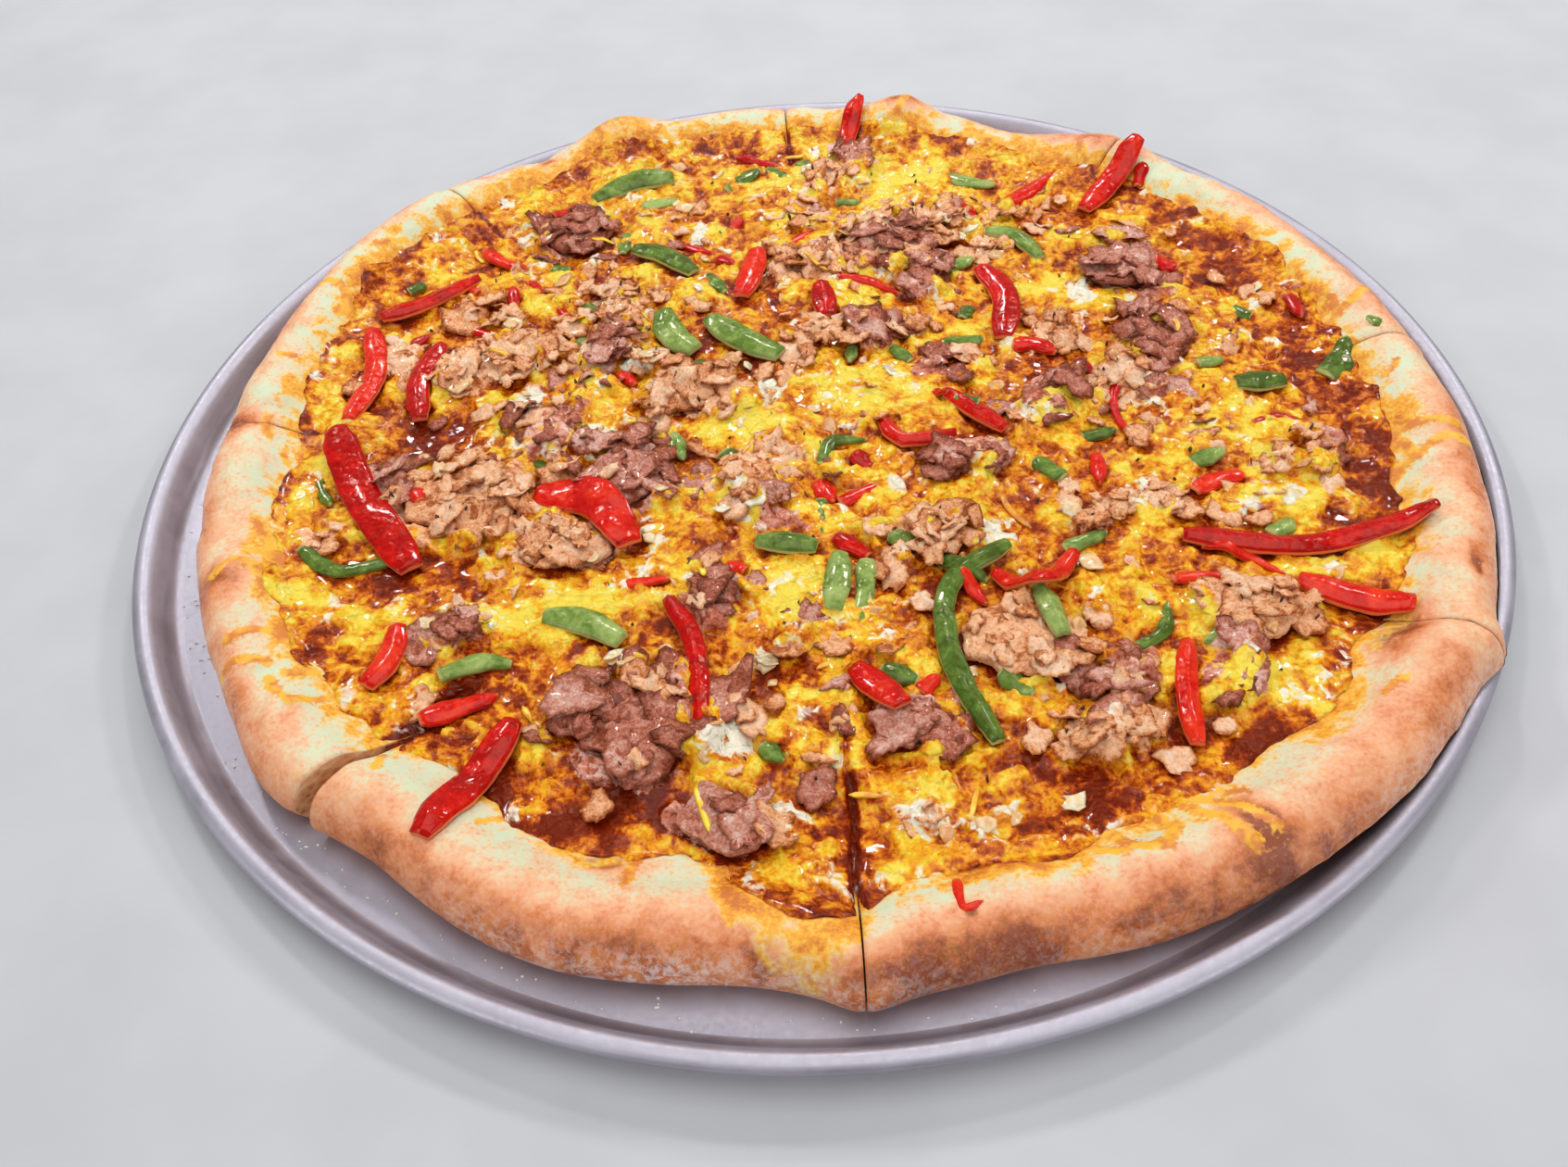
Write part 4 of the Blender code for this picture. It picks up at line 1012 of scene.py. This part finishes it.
class Field:
    """Height of the topping at each millimetre, and where the large pieces lie."""

    HALF = 235

    def __init__(self):
        line = np.arange(-self.HALF, self.HALF + 1, dtype=float)
        x, y = np.meshgrid(line, line)
        angle, radius = polar(x, y)
        on_cheese = radius < cheese_reach(angle) + 1.0
        self.base = np.where(on_cheese, cheese_height(x, y), dough_height(x, y))
        self.base = np.where(radius < edge_radius(angle), self.base, PAN_SHEET)
        self.cells = self.base.copy()
        self.taken = np.zeros_like(self.cells, dtype=bool)
        self.slabs = np.zeros_like(self.cells)
        self.sauce = patches(x, y, SAUCE_PATCHES, 7.0, 71)

    def nearest(self, x, y):
        """Row and column of the nearest cells."""
        places = [np.round(np.asarray(place) + self.HALF).astype(int) for place in (y, x)]
        return tuple(np.clip(place, 0, 2 * self.HALF) for place in places)

    def at(self, x, y, layer=None):
        """Values at points, by the nearest cell."""
        return (self.cells if layer is None else layer)[self.nearest(x, y)]

    def sample(self, x, y, layer):
        """Values at points, blended between the cells round each."""
        u = np.clip(np.asarray(x) + self.HALF, 0.0, 2.0 * self.HALF - 0.001)
        v = np.clip(np.asarray(y) + self.HALF, 0.0, 2.0 * self.HALF - 0.001)
        i, j = v.astype(int), u.astype(int)
        f, g = v - i, u - j
        return ((layer[i, j] * (1 - g) + layer[i, j + 1] * g) * (1 - f)
                + (layer[i + 1, j] * (1 - g) + layer[i + 1, j + 1] * g) * f)

    def window(self, x, y, reach):
        """Slices and distances of the cells round a point."""
        low_x, low_y = int(x - reach) + self.HALF, int(y - reach) + self.HALF
        high_x, high_y = int(x + reach) + 2 + self.HALF, int(y + reach) + 2 + self.HALF
        ys, xs = np.mgrid[low_y:high_y, low_x:high_x]
        return slice(low_y, high_y), slice(low_x, high_x), xs - self.HALF - x, ys - self.HALF - y

    def add_points(self, points, take, slab=False):
        """Raise the cells under dense points, and mark them where a large piece or a slab lies."""
        cells = self.nearest(points[:, 0], points[:, 1])
        np.maximum.at(self.cells, cells, points[:, 2])
        if take:
            self.taken[cells] = True
        if slab:
            self.slabs[cells] = 1.0


def finer_mesh(name, material, crisp, levels):
    """Subdivided copy of a CAD solid's mesh, its sharper edges kept crisp."""
    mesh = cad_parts[name].data.copy()
    mesh.materials.clear()
    mesh.materials.append(material)
    shape = bmesh.new()
    shape.from_mesh(mesh)
    bmesh.ops.remove_doubles(shape, verts=shape.verts, dist=0.00001)
    bmesh.ops.join_triangles(
        shape, faces=shape.faces, angle_face_threshold=0.7, angle_shape_threshold=0.9,
        cmp_seam=False, cmp_sharp=False, cmp_uvs=False, cmp_vcols=False, cmp_materials=False)
    bmesh.ops.subdivide_edges(shape, edges=shape.edges, cuts=1, use_grid_fill=True)
    bmesh.ops.recalc_face_normals(shape, faces=shape.faces)
    crease = shape.edges.layers.float.new("crease_edge")
    for edge in shape.edges:
        if len(edge.link_faces) == 2 and edge.calc_face_angle() > 0.75:
            edge[crease] = crisp
    shape.to_mesh(mesh)
    shape.free()
    piece = add_object(f"{name}_fine", mesh)
    finer = piece.modifiers.new("finer", "SUBSURF")
    finer.levels = finer.render_levels = levels
    fine = bpy.data.meshes.new_from_object(piece.evaluated_get(bpy.context.evaluated_depsgraph_get()))
    piece.modifiers.clear()
    piece.data = fine
    return piece, fine


def detail_node(name, material, swell, flesh_below, crisp, levels, seed):
    """Finer copy of a topping's solid: rounded, lumpy, with its own tint and an edge value that paints shade
    into the meat's hollows.
    """
    piece, fine = finer_mesh(name, material, crisp, levels)
    count = len(fine.vertices)
    points, normals = np.empty(count * 3), np.empty(count * 3)
    fine.vertices.foreach_get("co", points)
    fine.vertices.foreach_get("normal", normals)
    points, normals = points.reshape(-1, 3) / MM, normals.reshape(-1, 3)
    shift = Vector((seed, 0, 0))
    rough = np.array([noise.fractal(Vector(p) / DETAIL_SPACING + shift, 1.0, 2.0, 4) for p in points])
    points += normals * (0.15 + swell * rough)[:, None]
    points[:, 2] = np.minimum(points[:, 2], TOP_LIMIT)
    fine.vertices.foreach_set("co", (points * MM).ravel())
    fine.shade_smooth()
    set_values(fine, {
        "tint": np.full(count, random.Random(seed).random()),
        "flesh": flesh_below * np.clip(1.15 - 1.6 * np.abs(normals[:, 2] + 0.2), 0.0, 1.0),
        # Painted shade: the edge value is high where the lumps dip in, so the meat darkens in its hollows.
        "edge": np.clip(0.55 - 0.8 * rough, 0.0, 1.0),
    })
    fine.update()
    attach(piece, "root")
    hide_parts(name)
    return points


def tube(path, reach, height):
    """Closed tube along a path on the plan, by each ring's distances to the side and heights."""
    ahead = np.gradient(path, axis=0)
    ahead /= np.linalg.norm(ahead, axis=1)[:, None] + 1e-9
    across = np.stack((-ahead[:, 1], ahead[:, 0]), -1)
    plan = path[:, None, :] + across[:, None, :] * reach[:, :, None]
    steps, ring = reach.shape
    faces = [face[::-1] for face in grid_faces(steps, ring, around=True)]
    faces += [tuple(range(ring)), tuple(range((steps - 1) * ring, steps * ring))[::-1]]
    return np.concatenate((plan, height[:, :, None]), -1).reshape(-1, 3), faces


def evened(ground, own, fall=None):
    """Heights along a path blended with their neighbours', falling no more than told below their own."""
    padded = np.pad(ground, 1, mode="edge")
    blend = ground * own + (padded[:-2] + padded[2:]) * (1.0 - own) / 2.0
    return blend if fall is None else np.maximum(blend, ground - fall)


def strip_points(field, width, thickness, route, chance):
    """Small arched strip that follows what it lies on, as points, faces and flesh values."""
    path = smooth_section(route, 6) if len(route) > 2 else np.linspace(route[0], route[1], 9)
    ground = field.at(path[:, 0], path[:, 1])
    for _ in range(3):
        ground = evened(ground, 0.5, 0.4)
    ring = 10
    turn = 2.0 * np.pi * (np.arange(ring) + 0.5) / ring
    side = np.sign(np.cos(turn)) * np.abs(np.cos(turn)) ** 0.4
    rise = np.sign(np.sin(turn)) * np.abs(np.sin(turn)) ** 0.55
    place = np.linspace(-1.0, 1.0, len(path))
    taper = 1.0 - 0.3 * np.abs(place) ** 6 - chance.uniform(0.1, 0.7) * ((1.0 + place) / 2.0) ** 3
    wobble = 1.0 + 0.12 * np.sin(place * 5.0 + chance.uniform(0, 6))
    half = width / 2.0 * 0.95 * taper * wobble
    ground = ground + chance.uniform(-1.1, 0.0) + chance.uniform(-0.9, 0.9) * place
    body = rise * thickness / 2.0 * (0.7 + 0.3 * taper)[:, None]
    height = ground[:, None] + 0.45 * thickness + body - 0.18 * width * side ** 2 * 0.6
    points, faces = tube(path, side * half[:, None], height)
    flesh = np.tile(np.clip(0.3 - rise, 0.0, 1.0), len(path))
    flesh[:ring] = flesh[-ring:] = 0.8
    return points, faces, flesh


def thread_points(field, route, radius, lift):
    """Melted thread that follows the ground, flattened, with round ends."""
    path = np.array(route)
    ground = evened(field.at(path[:, 0], path[:, 1]), 0.4)
    taper = np.sqrt(np.clip(1.0 - np.abs(np.linspace(-1.0, 1.0, len(path))) ** 6, 0.02, 1.0))[:, None]
    ring = 8
    turn = 2.0 * np.pi * np.arange(ring) / ring
    height = ground[:, None] + lift + np.sin(turn) * radius * 0.45 * taper
    return tube(path, np.cos(turn) * radius * taper, height)


class Heap:
    """Many loose pieces of one kind, joined into one mesh."""

    def __init__(self):
        self.points, self.faces, self.values = [], [], {}
        self.count = 0

    def add(self, points, faces, **values):
        """Add one closed piece."""
        self.points.append(points)
        self.faces.extend(tuple(self.count + i for i in face) for face in faces)
        for key, numbers in values.items():
            numbers = np.full(len(points), numbers) if np.isscalar(numbers) else numbers
            self.values.setdefault(key, []).append(numbers)
        self.count += len(points)

    def make(self, name, material, slot):
        """Joined object."""
        values = {key: np.concatenate(parts) for key, parts in self.values.items()}
        return put_mesh(name, np.vstack(self.points), self.faces, material, values=values)


def ball():
    """Unit sphere of even triangles."""
    shape = bmesh.new()
    bmesh.ops.create_icosphere(shape, subdivisions=1, radius=1.0)
    points = np.array([tuple(v.co) for v in shape.verts])
    faces = [tuple(v.index for v in face.verts) for face in shape.faces]
    shape.free()
    return points, faces


BALL = ball()


def crumb(size, flat, thick, chance):
    """Ragged flattened lump about the origin, its length along X."""
    sphere, faces = BALL
    seed = Vector((chance.uniform(0, 99), chance.uniform(0, 99), chance.uniform(0, 99)))
    swell = np.array([noise.fractal(Vector(p) * 1.5 + seed, 0.9, 2.1, 3) for p in sphere])
    points = sphere * (1.0 + 0.3 * swell)[:, None]
    points = np.sign(points) * np.abs(points) ** 0.85
    return points * np.array((size / 2.0, size / 2.0 * flat, thick / 2.0)), faces


def flake(size, flat, thick, curl, sides, chance):
    """Torn sheet about the origin, its length along X, with a frilled outline and folds."""
    shares = np.array((0.0, 0.30, 0.58, 0.82, 1.0))
    turn = 2.0 * np.pi * np.arange(sides) / sides
    seed = chance.uniform(0.0, 500.0)
    outline = 1.0 + np.array([
        0.45 * noise.fractal(Vector((1.4 * math.cos(a), 1.4 * math.sin(a), seed)), 0.6, 2.2, 2)
        + 0.20 * noise.noise(Vector((4.5 * math.cos(a), 4.5 * math.sin(a), seed + 5.0))) for a in turn])
    outline = np.clip(outline, 0.5, 1.45)
    x = (shares[:, None] * outline * np.cos(turn)) * size / 2.0
    y = (shares[:, None] * outline * np.sin(turn)) * size / 2.0 * flat
    fold = size * 0.4
    middle = np.array([
        curl * size * noise.noise(Vector((a / fold, b / fold, seed)))
        + 0.8 * noise.noise(Vector((a / 2.2, b / 2.2, seed + 9.0))) for a, b in zip(x.ravel(), y.ravel())])
    middle = middle.reshape(x.shape)
    body = thick * np.sqrt(1.0 - 0.9 * shares ** 3)[:, None]
    top = np.stack((x, y, middle + body * 0.5), -1)
    low = np.stack((x * 0.95, y * 0.95, middle - body * 0.5), -1)
    points = np.vstack((top[0, :1], top[1:].reshape(-1, 3), low[0, :1], low[-1]))
    rings = len(shares) - 1
    second = 1 + rings * sides
    last = second - sides
    faces = []
    for k in range(sides):
        following = (k + 1) % sides
        faces.append((0, 1 + k, 1 + following))
        for r in range(rings - 1):
            a, b = 1 + r * sides + k, 1 + r * sides + following
            faces.append((a, a + sides, b + sides, b))
        faces.append((last + k, second + 1 + k, second + 1 + following, last + following))
        faces.append((second, second + 1 + following, second + 1 + k))
    # Edge value, from 0 in the middle to 1 at the rim, where the meat materials paint shade.
    edge = np.concatenate(((0.0,), np.repeat(shares[1:], sides), (1.0,), np.ones(sides)))
    return points, faces, edge


def settle(field, x, y, points, spin, sink, limit):
    """Turn a piece, tilt it with the ground and let it lie; None where it can't."""
    reach = np.abs(points[:, :2]).max()
    rows, columns, dx, dy = field.window(x, y, reach)
    c, s = math.cos(spin), math.sin(spin)
    along, across = dx * c + dy * s, -dx * s + dy * c
    half_x, half_y = np.abs(points[:, 0]).max(), np.abs(points[:, 1]).max()
    under = (along / half_x) ** 2 + (across / half_y) ** 2 < 0.8
    if not under.any() or field.taken[rows, columns][under].mean() > 0.12:
        return None
    ground = field.cells[rows, columns][under]
    level = 0.5 * ground.mean() + 0.5 * np.percentile(ground, 80)
    if level - field.base[rows, columns][under].mean() > limit:
        return None
    ax, ay = along[under] / half_x, across[under] / half_y
    slope_x = float(np.clip((ground * ax).sum() / ((ax ** 2).sum() + 1e-6), -1.5, 1.5)) * 0.6
    slope_y = float(np.clip((ground * ay).sum() / ((ay ** 2).sum() + 1e-6), -1.5, 1.5)) * 0.6
    ground_tilt = slope_x * points[:, 0] / half_x + slope_y * points[:, 1] / half_y
    z = points[:, 2] + ground_tilt + level + sink
    placed = np.column_stack((
        x + points[:, 0] * c - points[:, 1] * s, y + points[:, 0] * s + points[:, 1] * c, z))
    top = level + sink + np.abs(points[:, 2]).max() * 0.75 * np.sqrt(np.clip(
        1.0 - (along / half_x) ** 2 - (across / half_y) ** 2, 0.0, 1.0))
    field.cells[rows, columns] = np.where(under, np.maximum(field.cells[rows, columns], top),
                                          field.cells[rows, columns])
    return placed


def spread(field, count, spread_table, everywhere, reach, chance):
    """Places for loose pieces: more in the patches, some everywhere, none outside the reach."""
    places = []
    total = sum(p[2] * p[3] * p[4] for p in spread_table)
    while len(places) < count:
        if chance.random() < everywhere:
            radius = reach * math.sqrt(chance.random())
            turn = chance.uniform(0.0, 2.0 * math.pi)
            x, y = CENTRE_X + radius * math.cos(turn), CENTRE_Y + radius * math.sin(turn)
        else:
            pick = chance.random() * total
            for cx, cy, rx, ry, strength in spread_table:
                pick -= rx * ry * strength
                if pick <= 0.0:
                    break
            x, y = cx + rx * chance.gauss(0.0, 0.55), cy + ry * chance.gauss(0.0, 0.55)
        angle, radius = polar(x, y)
        if radius > cheese_reach(angle) - 7.0:
            continue
        if field.at(x, y, field.sauce) > 0.45 and chance.random() < 0.75:
            continue
        places.append((x, y))
    return places


def scatter(field, heaps, table, chance):
    """Lay the loose flakes of a table, the largest of each kind first."""
    for kind, count, where, everywhere, sizes, flat, thick, curl, sides, lift, limit in table:
        places = spread(field, count, where, everywhere, FLAKE_REACH, chance)
        for i, (x, y) in enumerate(places):
            size = sizes[0] + (sizes[1] - sizes[0]) * (i / len(places)) ** 0.6
            size *= chance.uniform(0.85, 1.15)
            height = chance.uniform(*thick)
            points, faces, edge = flake(size, chance.uniform(*flat), height, curl, sides, chance)
            tilt_x, tilt_y = chance.uniform(-0.2, 0.2), chance.uniform(-0.2, 0.2)
            points[:, 2] += tilt_x * points[:, 0] + tilt_y * points[:, 1]
            placed = settle(field, x, y, points, chance.uniform(0.0, math.pi * 2.0), lift * height, limit)
            if placed is not None:
                heaps[kind].add(placed, faces, tint=chance.random(), edge=edge)


def make_large_pieces(field, materials):
    """Detailed copies of the toppings that have a node."""
    # Kind, height of its lumps, pale flesh at its sides, crispness of its edges and levels of subdivision.
    looks = (("red_pepper", 0.35, 1.0, 0.9, 1), ("green_pepper", 0.35, 1.0, 0.9, 1),
             ("steak", 0.8, 0.0, 0.4, 2), ("chicken", 1.3, 0.0, 0.4, 2))
    seed = 0
    for kind, swell, flesh_below, crisp, levels in looks:
        for name in sorted(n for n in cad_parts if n.startswith(kind)):
            seed += 1
            points = detail_node(name, materials[kind], swell, flesh_below, crisp, levels, seed)
            is_pepper = "pepper" in kind
            field.add_points(points, take=is_pepper, slab=not is_pepper)


def make_toppings():
    """Large pieces from their nodes, then the chopped heap, the melted cheese and what lies on it."""
    field = Field()
    chance = random.Random(5)
    materials = {
        "red_pepper": pepper_material("red_pepper", *RED_SKIN),
        "green_pepper": pepper_material("green_pepper", *GREEN_SKIN),
        "chicken": meat_material("chicken", CHICKEN_TONES, (1.0, 0.7, 0.45), 0.2, (0.1, 2.0, (1.0, 0.5, 0.3)),
                                 (3.0, 5.0, 1.0, 0.65), (0.9, 4.0, 0.4), (0.16, 0.45), (0.5, 1.4, 0.85)),
        "steak": meat_material("steak", STEAK_TONES, (1.0, 0.7, 0.5), 0.28, None,
                               (2.6, 5.0, 1.2, 0.68), (0.8, 4.0, 0.6, 0.7), (0.14, 0.42), (1.0, 1.0, 0.8)),
        "pale": melted_material("mozzarella_and_onion", 0.22, (0.4, 0.08), (0.35, 4.0, (1.0, 0.8, 0.5)),
                                3.0, 0.2, PALE_TONES, 1.4, 0.3),
        "cheddar": melted_material("cheddar", 0.26, (0.3, 0.1), (0.2, 3.0, (1.0, 0.6, 0.1)),
                                   4.0, 0.16, CHEDDAR_TONES, 1.2, 0.25),
        "specks": dry_material("specks", 0.6, 1.0, SPECK_TONES),
    }
    make_large_pieces(field, materials)

    heaps = {kind: Heap() for kind in materials}
    for kind, table in (("red_pepper", SMALL_RED), ("green_pepper", SMALL_GREEN)):
        for width, route in table:
            points, faces, flesh = strip_points(field, width, chance.uniform(1.5, 2.2), route, chance)
            heaps[kind].add(points, faces, tint=chance.random(), flesh=flesh)
            field.add_points(points, take=True)
    scatter(field, heaps, FLAKES_UNDER, chance)
    make_cheese(field)
    scatter(field, heaps, FLAKES_OVER, chance)

    for x, y in spread(field, CHEDDAR_THREADS, CHEDDAR_PATCHES, 0.6, 184.0, chance):
        route = random_route(x, y, chance.uniform(8.0, 22.0), chance, 9)
        if field.at([p[0] for p in route], [p[1] for p in route], field.taken).mean() > 0.2:
            continue
        points, faces = thread_points(field, route, chance.uniform(0.8, 1.2), -0.4)
        heaps["cheddar"].add(points, faces, tint=chance.uniform(0.4, 0.85))
    for x, y in spread(field, SPECKS, CHICKEN_PATCHES, 0.7, FLAKE_REACH, chance):
        points, faces = crumb(chance.uniform(0.7, 1.8), 0.7, chance.uniform(0.6, 1.0), chance)
        placed = settle(field, x, y, points, chance.uniform(0.0, 6.3), 0.1, 8.0)
        if placed is not None:
            heaps["specks"].add(placed, faces)

    for kind, name, slot in (
            ("red_pepper", "red_pepper_bits", "red_pepper"),
            ("green_pepper", "green_pepper_bits", "green_pepper"),
            ("chicken", "chicken_bits", "chicken"), ("steak", "steak_bits", "steak"),
            ("pale", "mozzarella_and_onion_bits", "cheese"), ("cheddar", "cheddar_threads", "cheese"),
            ("specks", "pepper_specks", "steak")):
        heaps[kind].make(name, materials[kind], slot)


def make_flour():
    """Flour and crumbs on the bare floor of the pan."""
    chance = random.Random(8)
    heap = Heap()
    for _ in range(FLOUR_SPECKS):
        turn = math.radians(chance.choice((chance.uniform(-140, -60), chance.uniform(140, 230))))
        radius = chance.uniform(196.0, 216.0)
        x, y = radius * math.cos(turn), radius * math.sin(turn)
        angle, distance = polar(x, y)
        if distance < edge_radius(angle) + 0.5:
            continue
        points, faces = crumb(chance.uniform(0.35, 1.0), 0.8, 0.5, chance)
        heap.add(points + np.array((x, y, PAN_SHEET + 0.15)), faces)
    heap.make("flour_specks", dry_material("flour", 0.9, 2.0, FLOUR_TONES), "crust")


def make_floor():
    """Plain pale floor that runs far behind the pan."""
    mesh = bpy.data.meshes.new("floor")
    reach = 4.0
    corners = [(-reach, -reach, 0.0), (reach, -reach, 0.0), (reach, reach, 0.0), (-reach, reach, 0.0)]
    mesh.from_pydata(corners, [], [(0, 1, 2, 3)])
    shader = Shader("floor", 0.6)
    clouds = shader.span(shader.noise(60.0, 3.0), 0.3, 0.7)
    mesh.materials.append(shader.finish(shader.mix(clouds, (0.48, 0.48, 0.50), (0.52, 0.52, 0.54))))
    floor = add_object("floor", mesh)


def make_light():
    """Pale surroundings, a broad light above, two at the sides and three small ones for wet highlights."""
    world = bpy.data.worlds.new("studio")
    bpy.context.scene.world = world
    world.use_nodes = True
    background = world.node_tree.nodes["Background"]
    background.inputs["Color"].default_value = (0.93, 0.96, 1.0, 1.0)
    background.inputs["Strength"].default_value = 0.24
    for name, place, size, power in (
            ("above", (0.05, 0.0, 1.5), 1.2, 10.6),
            ("fill_left", (-1.3, -0.8, 0.9), 0.9, 8.6), ("fill_right", (1.2, -0.9, 0.9), 0.9, 7.6),
            ("window_left", (-0.65, 1.0, 0.95), 0.13, 5.0), ("window_middle", (0.1, 1.25, 1.0), 0.13, 5.0),
            ("window_right", (0.85, 0.8, 0.95), 0.13, 5.0)):
        data = bpy.data.lights.new(name, "AREA")
        data.shape = "SQUARE"
        data.size = size
        data.energy = power
        light = add_object(name, data)
        light.location = place
        light.rotation_euler = (-Vector(place)).to_track_quat("-Z", "Y").to_euler()
    bpy.context.scene.view_settings.view_transform = "Standard"


def make_camera():
    """Camera at the photograph's place, turned by its tilt and roll."""
    pitch, roll = math.radians(CAMERA_PITCH), math.radians(CAMERA_ROLL)
    forward = Vector((0.0, math.cos(pitch), -math.sin(pitch)))
    level = Vector((1.0, 0.0, 0.0))
    upright = level.cross(forward)
    right = math.cos(roll) * level + math.sin(roll) * upright
    up = -math.sin(roll) * level + math.cos(roll) * upright
    data = bpy.data.cameras.new("camera")
    data.sensor_width = CAMERA_SENSOR
    data.lens = CAMERA_LENS
    data.clip_start = 0.01
    data.clip_end = 20.0
    camera = add_object("camera", data)
    turned = Matrix((right, up, -forward)).transposed().to_4x4()
    camera.matrix_world = Matrix.Translation(Vector(CAMERA_PLACE) * MM) @ turned
    bpy.context.scene.camera = camera


make_camera()
make_light()
make_floor()
make_pan()
crust, bread = crust_material(), bread_material()
for number, (start, end) in enumerate(zip(CUT_ANGLES, CUT_ANGLES[1:] + CUT_ANGLES[:1]), 1):
    make_crust_slice(number, start, start + (end - start) % 360.0, crust, bread)
make_toppings()
make_flour()
